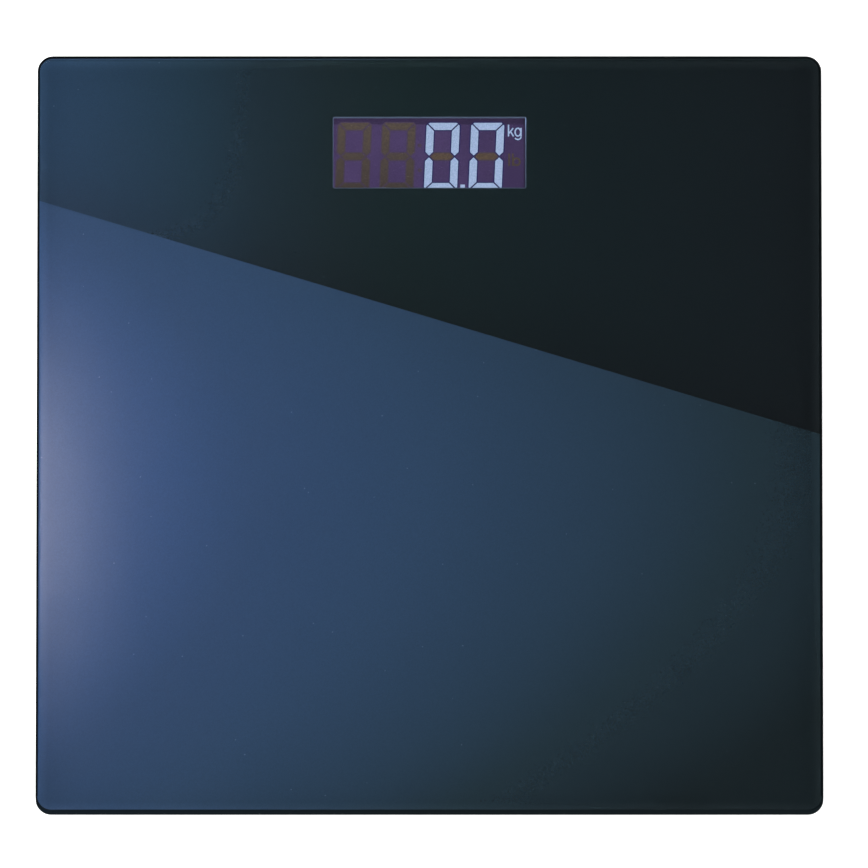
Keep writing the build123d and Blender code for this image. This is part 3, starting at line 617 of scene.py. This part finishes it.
# Foot pads: grey rubber discs, compression moulded with two ring grooves, pressed into the cups. They
# stand on the floor and keep the plate from sliding.
pad_edge = 0.5 * MM
pad_middle = 4.0 * MM
pad_crease = radians(35)
groove_rings = ((5.0 * MM, 6.6 * MM), (10.0 * MM, 11.6 * MM))
groove_depth = 0.6 * MM
grey_rubber = grained(
    "grey_rubber", (0.105, 0.105, 0.11), (0.070, 0.070, 0.074),
    patch=6.0, rough=(0.62, 0.85), grain=0.3, relief=0.05,
)
for corner in corners:
    low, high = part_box(f"foot_pad_{corner}")
    middle = (low + high) / 2
    reach = (high.x - low.x) / 2
    sole = [(pad_middle, low.z)]
    for inside, outside in groove_rings:
        sole += [(inside, low.z), (inside, low.z + groove_depth)]
        sole += [(outside, low.z + groove_depth), (outside, low.z)]
    sole += [(reach, low.z), (reach, high.z), (pad_middle, high.z)]
    pad = turned(f"rubber_pad_{corner}", middle, eased(sole, pad_edge, steps=3), bored=False)
    for face in pad.data.polygons:
        face.use_smooth = True
    pad.data.set_sharp_from_angle(angle=pad_crease)
    pad.data.materials.append(grey_rubber)
    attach(pad, f"foot_{corner}")
    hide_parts(f"foot_pad_{corner}")

# Leads and clips: three stranded wires with coloured insulation run side by side from each cell to
# the board. The long ones are held up by small adhesive clips moulded in white nylon.
wire_grain = {"patch": 2.0, "grain": 0.3, "relief": 0.01}
red_wire = grained(
    "red_wire", (0.52, 0.020, 0.016), (0.40, 0.012, 0.010), rough=(0.28, 0.42), **wire_grain
)
white_wire = grained(
    "white_wire", (0.78, 0.78, 0.76), (0.68, 0.68, 0.65), rough=(0.3, 0.44), **wire_grain
)
black_wire = grained(
    "black_wire", (0.020, 0.020, 0.021), (0.012, 0.012, 0.013), rough=(0.28, 0.42), **wire_grain
)
white_nylon = grained(
    "white_nylon", (0.80, 0.80, 0.77), (0.72, 0.72, 0.68),
    patch=5.0, rough=(0.4, 0.56), grain=0.4, relief=0.03,
)


def loose_bodies(made):
    """For each face of a node, the number of its loose body, counted in order of their places."""
    mesh = made.data
    root = list(range(len(mesh.vertices)))

    def find(v):
        while root[v] != v:
            root[v] = root[root[v]]
            v = root[v]
        return v

    same = {}
    for vertex in mesh.vertices:
        key = tuple(round(c, 7) for c in vertex.co)
        root[find(vertex.index)] = find(same.setdefault(key, vertex.index))
    for edge in mesh.edges:
        root[find(edge.vertices[0])] = find(edge.vertices[1])
    groups = {}
    for vertex in mesh.vertices:
        groups.setdefault(find(vertex.index), []).append(vertex.co)

    def middle(group):
        spots = groups[group]
        return tuple(round(sum(spot[axis] for spot in spots) / len(spots), 5) for axis in (0, 1))

    order = sorted(groups, key=middle)
    return [order.index(find(face.vertices[0])) for face in mesh.polygons]


for corner in corners:
    lead = dress(f"load_cell_lead_{corner}", red_wire, white_wire, black_wire)
    for face, number in zip(lead.data.polygons, loose_bodies(lead)):
        face.material_index = number % 3
dress("lead_clips", white_nylon)

# Electronics pod: a black moulded tray, held to the film by a frame of thin foam tape, with the
# battery bay walls and the screw posts moulded in.
pod_tape_radius = 4.6 * MM
pod_tape_swell = 0.12 * MM
die_radius = 0.4 * MM
display_gap = 0.5 * MM


def grown(box, by):
    """A box of left, bottom, right and top, made larger on all sides."""
    left, bottom, right, top = box
    return (left - by, bottom - by, right + by, top + by)


def foam_frame(name, outside, hole, radius, low, high, swell):
    """A die-cut frame of foam, swelled at half height. The boxes are the edges at their widest."""
    edge = eased([(swell, low), (0.0, (low + high) / 2), (swell, high)], 2 * swell)
    rows = [(grown(outside, -in_by), radius, height) for in_by, height in edge]
    rows += [(grown(hole, in_by), die_radius, height) for in_by, height in reversed(edge)]
    made = frame_ring(name, rows)
    for face in made.data.polygons:
        face.use_smooth = abs(face.normal.z) < flat_face
    return made


low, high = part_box("pod_tape")
lcd_low, lcd_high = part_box("lcd_front_glass")
pod_foam = foam_frame(
    "pod_foam_frame",
    (low.x, low.y, high.x, high.y),
    grown((lcd_low.x, lcd_low.y, lcd_high.x, lcd_high.y), display_gap),
    pod_tape_radius,
    low.z,
    high.z,
    pod_tape_swell,
)
pod_foam.data.materials.append(foam_tape)
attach(pod_foam, "scale_body")
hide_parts("pod_tape")
dress("pod_housing", black_plastic)

# Display glass: two thin plates with the liquid crystal between them and a polariser on each face.
# A backlight of white diodes shines through them, so clear segments glow on a violet ground.
ground_tones = ((0.42, (0.047, 0.029, 0.091)), (0.58, (0.068, 0.043, 0.123)))
speck_share, cloud_share = 0.6, 0.4
# Painted shadow of the window edge on the display: a band at the top and a strip along the right.
painted_top_shadow = (123.6 * MM, 124.3 * MM, 1.0, 0.53)
dim_end = (8.0 * MM, 37.0 * MM, 1.0, 0.76)
painted_side_shadow = (35.8 * MM, 36.4 * MM, 1.0, 0.5)


def violet_ground():
    """A speckled violet glow with a painted shadow of the window edge in a band at the top and along
    the right, and darker towards the right.
    """
    made, node = blank("violet_display")
    place = object_place(node)
    spot = parts_of(node, place)
    specks = noise(node, place, scale=2600.0, detail=1.0)
    clouds = noise(node, place, scale=55.0, detail=2.0)
    mottle = maths(node, "MULTIPLY", specks, speck_share)
    mottle = maths(node, "MULTIPLY_ADD", clouds, cloud_share, mottle)
    # Painted shadow of the window edge at the top and along the right.
    level = ranged(node, spot["Y"], *painted_top_shadow)
    level = maths(node, "MULTIPLY", level, ranged(node, spot["X"], *dim_end))
    level = maths(node, "MULTIPLY", level, ranged(node, spot["X"], *painted_side_shadow))
    shade(
        made,
        Base_Color=(0.006, 0.004, 0.010, 1),
        Roughness=0.18,
        Specular_IOR_Level=0.3,
        Emission_Color=scaled(node, tones(node, mottle, *ground_tones), level),
        Emission_Strength=1.0,
    )
    return made


smoked_glass = grained(
    "smoked_display_glass", (0.030, 0.024, 0.050), (0.022, 0.018, 0.040),
    patch=12.0, rough=(0.08, 0.16), grain=1.0, relief=0.002,
)
dress("lcd_front_glass", violet_ground())
dress("lcd_rear_glass", smoked_glass)

# Display segments: figures of eight with mitred bars that lean a little, a point, a colon and the
# unit marks, etched in the clear electrode. A thin dark edge shows round each bar that is switched on.
figure_lean = tan(radians(2.35))
figure_height = 27.4 * MM
figure_width = 13.2 * MM
figure_lefts = (1.86 * MM, 18.79 * MM, 35.68 * MM, 52.76 * MM)
figure_drop = 2.1 * MM
first_lit_figure = 2
bar_width = 3.4 * MM
corner_cut = 1.3 * MM
edge_gap = 0.26 * MM
edge_lap = 0.2 * MM
soft_gap = 0.4 * MM
soft_lap = 0.1 * MM
point_left, point_drop = 48.8 * MM, 27.0 * MM
point_wide, point_high = 1.75 * MM, 1.5 * MM
colon_left, colon_drops, colon_radius = 33.2 * MM, (11.4 * MM, 21.3 * MM), 0.8 * MM
depth_shift = 0.23 * MM
window_left = -window_half_x
window_top = window_y + window_half_y + depth_shift
print_gap = 0.004 * MM
print_height = 0.015 * MM


def figure_bars():
    """The six outer bars and the middle bar of one upright figure, from its lower left corner."""
    wide, high, bar, cut = figure_width, figure_height, bar_width, corner_cut
    middle, half_bar, half_cut = high / 2, bar_width / 2, corner_cut / 2
    top = [
        (cut, high), (half_cut, high - half_cut), (bar, high - bar),
        (wide - bar, high - bar), (wide - half_cut, high - half_cut), (wide - cut, high),
    ]
    upper_left = [
        (0, high - cut), (0, middle + half_bar), (half_bar, middle),
        (bar, middle + half_bar), (bar, high - bar), (half_cut, high - half_cut),
    ]
    centre = [
        (half_bar, middle), (bar, middle - half_bar), (wide - bar, middle - half_bar),
        (wide - half_bar, middle), (wide - bar, middle + half_bar), (bar, middle + half_bar),
    ]

    def flipped(outline):
        return [(x, high - y) for x, y in reversed(outline)]

    upper_right = [(wide - x, y) for x, y in reversed(upper_left)]
    outer = [top, flipped(top), upper_left, upper_right, flipped(upper_left), flipped(upper_right)]
    return outer, centre


def mitre(come, leave, distance):
    """The step to the left at a bend between two directions that keeps the given distance to both."""
    first = Vector((-come.y, come.x))
    second = Vector((-leave.y, leave.x))
    return (first + second) * (distance / (1 + first.dot(second)))


def inset(outline, distance):
    """A convex outline, anticlockwise, moved inwards."""
    spots = [Vector(point) for point in outline]
    ways = [(b - a).normalized() for a, b in zip(spots, spots[1:] + spots[:1])]
    return [
        spot + mitre(come, leave, distance) for spot, come, leave in zip(spots, ways[-1:] + ways, ways)
    ]


def placed(outline, left):
    """A bar of a figure, leaned and moved to its place on the display."""
    base = window_top - figure_drop - figure_height
    shift = window_left + left - figure_height * figure_lean
    return [(x + shift + y * figure_lean, y + base) for x, y in outline]


def disc(left, drop, radius, count=20):
    """A round dot on the display, placed from the top left of the window."""
    x, y = window_left + left, window_top - drop
    turns = [2 * pi * i / count for i in range(count)]
    return [(x + radius * cos(turn), y + radius * sin(turn)) for turn in turns]


def plates(name, outlines, low, high):
    """Thin flat plates, one for each outline."""
    points, faces = [], []
    for outline in outlines:
        start, count = len(points), len(outline)
        points += [(x, y, low) for x, y in outline] + [(x, y, high) for x, y in outline]
        faces += end_faces(start, len(points), count) + walls(2, count, start=start)
    return piece(name, points, faces)


outer_bars, middle_bar = figure_bars()
lit, rims, idle, middles, halos = [], [], [], [], []
for number, left in enumerate(figure_lefts):
    if number < first_lit_figure:
        idle += [placed(inset(bar, soft_gap), left) for bar in outer_bars + [middle_bar]]
        halos += [placed(inset(bar, -soft_lap), left) for bar in outer_bars + [middle_bar]]
    else:
        lit += [placed(inset(bar, edge_gap), left) for bar in outer_bars]
        rims += [placed(inset(bar, -edge_lap), left) for bar in outer_bars]
        middles.append(placed(inset(middle_bar, soft_gap), left))
        halos.append(placed(inset(middle_bar, -soft_lap), left))
lit.append(
    [
        (window_left + point_left + x, window_top - point_drop + y)
        for x, y in ((0, 0), (0, -point_high), (point_wide, -point_high), (point_wide, 0))
    ]
)
halos += [disc(colon_left, drop, colon_radius) for drop in colon_drops]


def arc(x, y, wide, high, start, end, steps=20):
    """Points of an elliptic arc, with its ends in degrees."""
    turns = [radians(start + (end - start) * step / steps) for step in range(steps + 1)]
    return [(x + wide * cos(turn), y + high * sin(turn)) for turn in turns]


def letters(name, strokes, width, left, drop, low, high):
    """Thin raised strokes of even width. A stroke whose ends meet is a ring."""
    points, faces = [], []
    for line in strokes:
        spots = [Vector(point) * MM for point in line]
        ring = (spots[0] - spots[-1]).length < width / 10
        if ring:
            spots.pop()
        ways = [(b - a).normalized() for a, b in zip(spots, spots[1:] + spots[:1])]
        if not ring:
            ways[-1] = ways[-2]
        before = ways[-1:] + ways if ring else ways[:1] + ways
        start = len(points)
        for spot, come, leave in zip(spots, before, ways):
            side = mitre(come, leave, width / 2)
            for edge, height in ((-side, low), (side, low), (side, high), (-side, high)):
                x, y = spot + edge
                points.append((window_left + left + x, window_top - drop + y, height))
        faces += walls(len(spots), 4, joined=ring, start=start)
        if not ring:
            faces += end_faces(start, len(points), 4)
    return piece(name, points, faces)


letter_width = 0.56 * MM
kilogram_place = (66.95 * MM, 7.8 * MM)
kilogram = (
    ((0.3, 0.0), (0.3, 4.7)),
    ((0.5, 1.25), (2.1, 3.35)),
    ((1.05, 1.95), (2.25, 0.0)),
    arc(3.88, 1.72, 1.08, 1.56, 0, 360),
    ((5.08, 3.4), (5.08, 0.0)),
    arc(3.88, -0.1, 1.2, 1.1, 0, -150),
)
pound_width = 0.8 * MM
pound_place = (67.0 * MM, 19.6 * MM)
pound = (
    ((0.5, 0.0), (0.5, 5.0)),
    ((1.9, 0.0), (1.9, 5.0)),
    arc(3.3, 1.7, 1.3, 1.4, 0, 360),
)


def glowing_ink(name, bright, dim, foot_level=1.0):
    """Light through the clear electrode, with the speckle of the polariser and a fade to the foot."""
    made, node = blank(name)
    place = object_place(node)
    specks = noise(node, place, scale=2400.0, detail=1.0)
    glow = tones(node, specks, (0.4, dim), (0.6, bright))
    height = parts_of(node, place)["Y"]
    fade = ranged(node, height, window_y - window_half_y, window_y + window_half_y, foot_level, 1.0)
    shade(
        made,
        Base_Color=(0.006, 0.005, 0.010, 1),
        Roughness=0.18,
        Specular_IOR_Level=0.3,
        Emission_Color=scaled(node, glow, fade),
        Emission_Strength=1.0,
    )
    return made


segment_light = glowing_ink("segment_light", (0.42, 0.53, 0.77), (0.33, 0.435, 0.66))
segment_edge = glowing_ink("segment_edge", (0.013, 0.013, 0.095), (0.008, 0.009, 0.070))
segment_idle = glowing_ink("segment_idle", (0.101, 0.074, 0.047), (0.070, 0.053, 0.039), 0.58)
segment_warm = glowing_ink("segment_warm", (0.106, 0.070, 0.037), (0.074, 0.0495, 0.031))
segment_halo = glowing_ink("segment_halo", (0.078, 0.053, 0.078), (0.055, 0.038, 0.065), 0.8)
rim_level = lcd_high.z + print_gap
bar_level = rim_level + print_height
rim_layer = (rim_level, bar_level)
bar_layer = (bar_level, bar_level + print_height)
rim_width = letter_width + 2 * edge_lap
marks = (
    (plates("segment_rims", rims, *rim_layer), segment_edge),
    (plates("lit_segments", lit, *bar_layer), segment_light),
    (plates("segment_halos", halos, *rim_layer), segment_halo),
    (plates("idle_segments", idle, *bar_layer), segment_idle),
    (plates("idle_middle_bars", middles, *bar_layer), segment_warm),
    (letters("unit_kilogram_rim", kilogram, rim_width, *kilogram_place, *rim_layer), segment_edge),
    (letters("unit_kilogram", kilogram, letter_width, *kilogram_place, *bar_layer), segment_light),
    (letters("unit_pound", pound, pound_width, *pound_place, *rim_layer), segment_idle),
)
for made, light in marks:
    made.data.materials.append(light)
    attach(made, "scale_body")

# Display stack: a foam gasket above the glass, and under it a frosted film, an acrylic light guide
# with diodes at its ends, a striped elastomer connector and a white frame that keeps them square.
gasket_reveal = 1.0 * MM
gasket_swell = 0.15 * MM
stripes_scale = 250.0
stripe_tones = ((0.0, (0.030, 0.028, 0.030)), (0.5, (0.62, 0.36, 0.38)))
gasket_foam = grained(
    "gasket_foam", (0.016, 0.016, 0.016), (0.009, 0.009, 0.009),
    patch=0.8, rough=(0.8, 0.96), grain=0.2, relief=0.08,
)
frosted_film = grained(
    "frosted_film", (0.88, 0.88, 0.87), (0.82, 0.82, 0.81),
    patch=4.0, rough=(0.6, 0.78), grain=0.15, relief=0.01,
)
light_acrylic = grained(
    "light_acrylic", (0.80, 0.86, 0.90), (0.72, 0.80, 0.86),
    patch=8.0, rough=(0.08, 0.16), grain=2.0, relief=0.01,
)
diode_case = grained(
    "diode_case", (0.90, 0.86, 0.62), (0.84, 0.78, 0.48),
    patch=1.2, rough=(0.25, 0.4), grain=0.4, relief=0.02,
)
white_frame = grained(
    "white_frame_plastic", (0.82, 0.82, 0.80), (0.75, 0.75, 0.72),
    patch=9.0, rough=(0.38, 0.54), grain=0.4, relief=0.03,
)
striped_rubber, node = blank("striped_connector")
stripes = node(
    "TexWave",
    {"Vector": object_place(node), "Scale": stripes_scale, "Distortion": 0.3, "Detail": 1.0},
    bands_direction="X",
)
layers = tones(node, stripes.outputs["Fac"], *stripe_tones, blend="CONSTANT")
shade(striped_rubber, Base_Color=layers, Roughness=0.7)
low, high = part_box("window_gasket")
window = (-window_half_x, window_y - window_half_y, window_half_x, window_y + window_half_y)
gasket = foam_frame(
    "window_foam_gasket",
    (low.x, low.y, high.x, high.y),
    grown(window, gasket_reveal),
    die_radius,
    low.z,
    high.z,
    gasket_swell,
)
gasket.data.materials.append(gasket_foam)
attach(gasket, "scale_body")
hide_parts("window_gasket")
dress("diffuser_film", frosted_film)
dress("light_guide", light_acrylic)
dress("backlight_leds", diode_case)
dress("zebra_strip", striped_rubber)
dress("display_frame", white_frame)

# Circuit board: glass-fibre laminate with etched copper tracks under green solder mask. The control
# chip is bonded bare and covered with a drop of black epoxy; the small parts are soldered beside it.
track_scale = 110.0
track_width, track_run, track_pitch = 0.045, 0.9, 0.32
mask_tones = ((0.0, (0.010, 0.085, 0.028)), (1.0, (0.035, 0.19, 0.065)))
green_mask, node = blank("green_solder_mask")
tracks = node(
    "TexBrick",
    {
        "Vector": object_place(node),
        "Scale": track_scale,
        "Mortar Size": track_width,
        "Brick Width": track_run,
        "Row Height": track_pitch,
        "Color1": (0, 0, 0, 1),
        "Color2": (0.15, 0.15, 0.15, 1),
        "Mortar": (1, 1, 1, 1),
    },
).outputs["Color"]
track_relief = node("Bump", {"Height": tracks, "Strength": 0.5, "Distance": 0.03 * MM})
shade(
    green_mask,
    Base_Color=tones(node, tracks, *mask_tones),
    Roughness=0.3,
    Normal=track_relief.outputs["Normal"],
)
epoxy_drop = grained(
    "epoxy_drop", (0.014, 0.014, 0.014), (0.008, 0.008, 0.008),
    patch=4.0, rough=(0.18, 0.34), grain=1.5, relief=0.06,
)
part_bodies = grained(
    "part_bodies", (0.10, 0.085, 0.12), (0.06, 0.05, 0.075),
    patch=1.5, rough=(0.3, 0.5), grain=0.3, relief=0.02,
)
dress("circuit_board", green_mask)
dress("control_chip", epoxy_drop)
dress("board_components", part_bodies)

# Unit button: a small grey cap moulded with a flange, which is pushed in from below to change the
# unit. Behind it a tact switch on the board has a plunger of its own.
grey_cap = grained(
    "grey_button_plastic", (0.30, 0.31, 0.32), (0.25, 0.26, 0.27),
    patch=5.0, rough=(0.4, 0.56), grain=0.3, relief=0.03,
)
switch_case = grained(
    "switch_case", (0.045, 0.045, 0.046), (0.030, 0.030, 0.031),
    patch=3.0, rough=(0.4, 0.55), grain=0.3, relief=0.02,
)
switch_plunger = grained(
    "switch_plunger", (0.42, 0.30, 0.10), (0.34, 0.24, 0.08),
    patch=2.0, rough=(0.4, 0.55), grain=0.3, relief=0.02,
)
dress("unit_button", grey_cap)
dress("tact_switch", switch_case)
dress("tact_plunger", switch_plunger)

# Batteries: two small dry cells in plain printed sleeves, with bare nickel at both ends. They lie
# between the contact plates, one each way round.
bare_end = 0.9 * MM
tip_length = 0.8 * MM
band_length = 9.0 * MM
wrap_share, sleeve_gain = 0.3, 0.75
sleeve_gloss = (0.2, 0.34)
sleeve_tones = (
    (0.0, (0.028, 0.031, 0.036)),
    (0.25, (0.060, 0.066, 0.075)),
    (0.7, (0.42, 0.21, 0.065)),
    (1.0, (0.58, 0.31, 0.10)),
)
nickel = grained(
    "nickel_plate", (0.78, 0.75, 0.70), (0.64, 0.62, 0.58),
    patch=2.0, rough=(0.14, 0.28), grain=0.3, relief=0.01, metal=1.0,
)


def battery_sleeve(name, plus_end):
    """A dark glossy sleeve with a copper-coloured band at the plus end."""
    made, node = blank(name)
    place = object_place(node)
    wrap = noise(node, place, scale=300.0, detail=2.0)
    from_plus = maths(node, "SUBTRACT", parts_of(node, place)["X"], plus_end)
    band = maths(node, "LESS_THAN", maths(node, "ABSOLUTE", from_plus), band_length)
    print_share = maths(node, "MULTIPLY_ADD", wrap, wrap_share, band)
    print_share = maths(node, "MULTIPLY", print_share, sleeve_gain)
    shade(
        made,
        Base_Color=tones(node, print_share, *sleeve_tones),
        Roughness=ranged(node, wrap, 0.0, 1.0, *sleeve_gloss),
        Coat_Weight=0.3,
    )
    return made


for name, plus_right in (("battery_front", True), ("battery_rear", False)):
    low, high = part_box(name)
    cell = dress(name, battery_sleeve(name + "_sleeve", high.x if plus_right else low.x), nickel)
    for face in cell.data.polygons:
        from_right = high.x - face.center.x
        from_left = face.center.x - low.x
        from_tip, from_base = (from_right, from_left) if plus_right else (from_left, from_right)
        if from_tip < tip_length + bare_end or from_base < bare_end:
            face.material_index = 1
dress("battery_contacts", nickel)

# Battery springs: tapering coils of nickel-plated spring wire. Each stands on its contact plate with
# the wide end and presses one cell against the plate at the far end.
coil_turns = 4
coil_base = 3.2 * MM
coil_tip = 2.2 * MM
coil_gap = 0.05 * MM
coil_steps = 40
wire_radius = 0.25 * MM
wire_sides = 10


def coil(points, faces, seat, way, length):
    """Adds one coil that stands on its seat and reaches along X."""
    start = len(points)
    steps = coil_turns * coil_steps
    lead_in = coil_gap + wire_radius
    onward = Vector((way, 0, 0))
    for step in range(steps + 1):
        share = step / steps
        turn = 2 * pi * coil_turns * share
        outward = Vector((0, cos(turn), sin(turn)))
        radius = coil_base + (coil_tip - coil_base) * share
        middle = seat + onward * (lead_in + (length - 2 * lead_in) * share) + outward * radius
        for side in range(wire_sides):
            angle = 2 * pi * side / wire_sides
            points.append(middle + (outward * cos(angle) + onward * sin(angle)) * wire_radius)
    faces += walls(steps + 1, wire_sides, start=start)
    faces += end_faces(start, len(points), wire_sides)


points, faces = [], []
spring_low, spring_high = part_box("battery_springs")
for name, way in (("battery_front", 1), ("battery_rear", -1)):
    low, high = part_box(name)
    wall = spring_low.x - coil_gap if way > 0 else spring_high.x + coil_gap
    seat = Vector((wall, (low.y + high.y) / 2, (low.z + high.z) / 2))
    length = abs((low.x if way > 0 else high.x) - wall)
    coil(points, faces, seat, way, length)
springs = piece("coiled_springs", points, faces)
for face in springs.data.polygons:
    face.use_smooth = len(face.vertices) == 4
springs.data.materials.append(nickel)
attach(springs, "scale_body")
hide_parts("battery_springs")

# Battery leads: two stranded wires, soldered between the ears of the contacts and the board. The red
# one comes from the plus plate.
battery_wires = dress("battery_leads", black_wire, red_wire)
for face, number in zip(battery_wires.data.polygons, loose_bodies(battery_wires)):
    face.material_index = number % 2

# Pod cover and battery door: flat black mouldings. The cover is screwed to the posts of the tray, and
# the door slides in two rails of the cover and is pushed off with a thumb on its grooves.
door_plastic = grained(
    "door_plastic", (0.019, 0.019, 0.021), (0.012, 0.012, 0.014),
    patch=14.0, rough=(0.44, 0.62), grain=0.4, relief=0.05,
)
dress("pod_cover", black_plastic)
dress("battery_door", door_plastic)

# Studio: a wide pale floor, an even soft light from the sides under a dark ceiling, and a low strip
# of light at the left that puts a soft glow on the bright ink. The camera looks down from the front.
floor_reach = 40.0
floor_tone = (0.86, 0.90)
floor_glow = 0.55
sky_tones = ((0.30, (0.95, 0.95, 0.96)), (0.74, (0.047, 0.047, 0.049)))
bank_x, bank_y, bank_z = 3.0, -0.6, 1.5
strip_x, strip_y, strip_z = -0.184, 0.026, 0.218
camera_tilt = radians(74.0)
picture_width = 331.7 * MM
picture_middle = Vector((1.72 * MM, 2.79 * MM, 12.0 * MM))

pale_floor, node = blank("pale_floor")
mottle = noise(node, object_place(node), scale=3.0, detail=2.0)
shade(
    pale_floor,
    Base_Color=ranged(node, mottle, 0.0, 1.0, *floor_tone),
    Roughness=0.9,
    Emission_Color=(1, 1, 1, 1),
    Emission_Strength=floor_glow,
)
clear_where(pale_floor, node, node("NewGeometry").outputs["Backfacing"])
floor_mesh = bpy.data.meshes.new("studio_floor")
floor_corners = ((-1, -1), (1, -1), (1, 1), (-1, 1))
floor_mesh.from_pydata(
    [(floor_reach * sx, floor_reach * sy, 0) for sx, sy in floor_corners], [], [[0, 1, 2, 3]]
)
floor_mesh.materials.append(pale_floor)
studio_floor = bpy.data.objects.new("studio_floor", floor_mesh)
bpy.context.scene.collection.objects.link(studio_floor)
studio_floor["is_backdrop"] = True

world = bpy.data.worlds.new("studio")
world.use_nodes = True
bpy.context.scene.world = world
node = node_maker(world.node_tree)
height = parts_of(node, node("TexCoord").outputs["Generated"])["Z"]
sky = tones(node, height, *sky_tones, blend="EASE")
join(world.node_tree, sky, world.node_tree.nodes["Background"].inputs["Color"])


def soft_light(name, place, target, width, length, power):
    """A rectangular lamp, out of the camera's sight."""
    lamp = bpy.data.lights.new(name, "AREA")
    lamp.shape = "RECTANGLE"
    lamp.size, lamp.size_y = width, length
    lamp.energy = power
    made = bpy.data.objects.new(name, lamp)
    made.location = place
    made.rotation_euler = (Vector(target) - Vector(place)).to_track_quat("-Z", "Y").to_euler()
    made.visible_camera = False
    bpy.context.scene.collection.objects.link(made)


for name, side in (("left_bank", -1), ("right_bank", 1)):
    soft_light(name, (side * bank_x, bank_y, bank_z), (0, 0, 0), width=2.2, length=1.4, power=110.0)
strip_place, strip_target = (strip_x, strip_y, strip_z), (strip_x, strip_y, 0.0)
soft_light("glow_strip", strip_place, strip_target, width=0.030, length=0.094, power=0.18)

bpy.context.scene.view_settings.view_transform = "Standard"
camera_lens = bpy.data.cameras.new("camera")
camera_lens.lens = 1500.0
camera_lens.sensor_width = 36.0
camera_lens.clip_end = 100.0
camera = bpy.data.objects.new("camera", camera_lens)
bpy.context.scene.collection.objects.link(camera)
back = Vector((0, -cos(camera_tilt), sin(camera_tilt)))
camera.location = picture_middle + back * (picture_width * camera_lens.lens / camera_lens.sensor_width)
camera.rotation_euler = (-back).to_track_quat("-Z", "Y").to_euler()
bpy.context.scene.camera = camera

low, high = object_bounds()
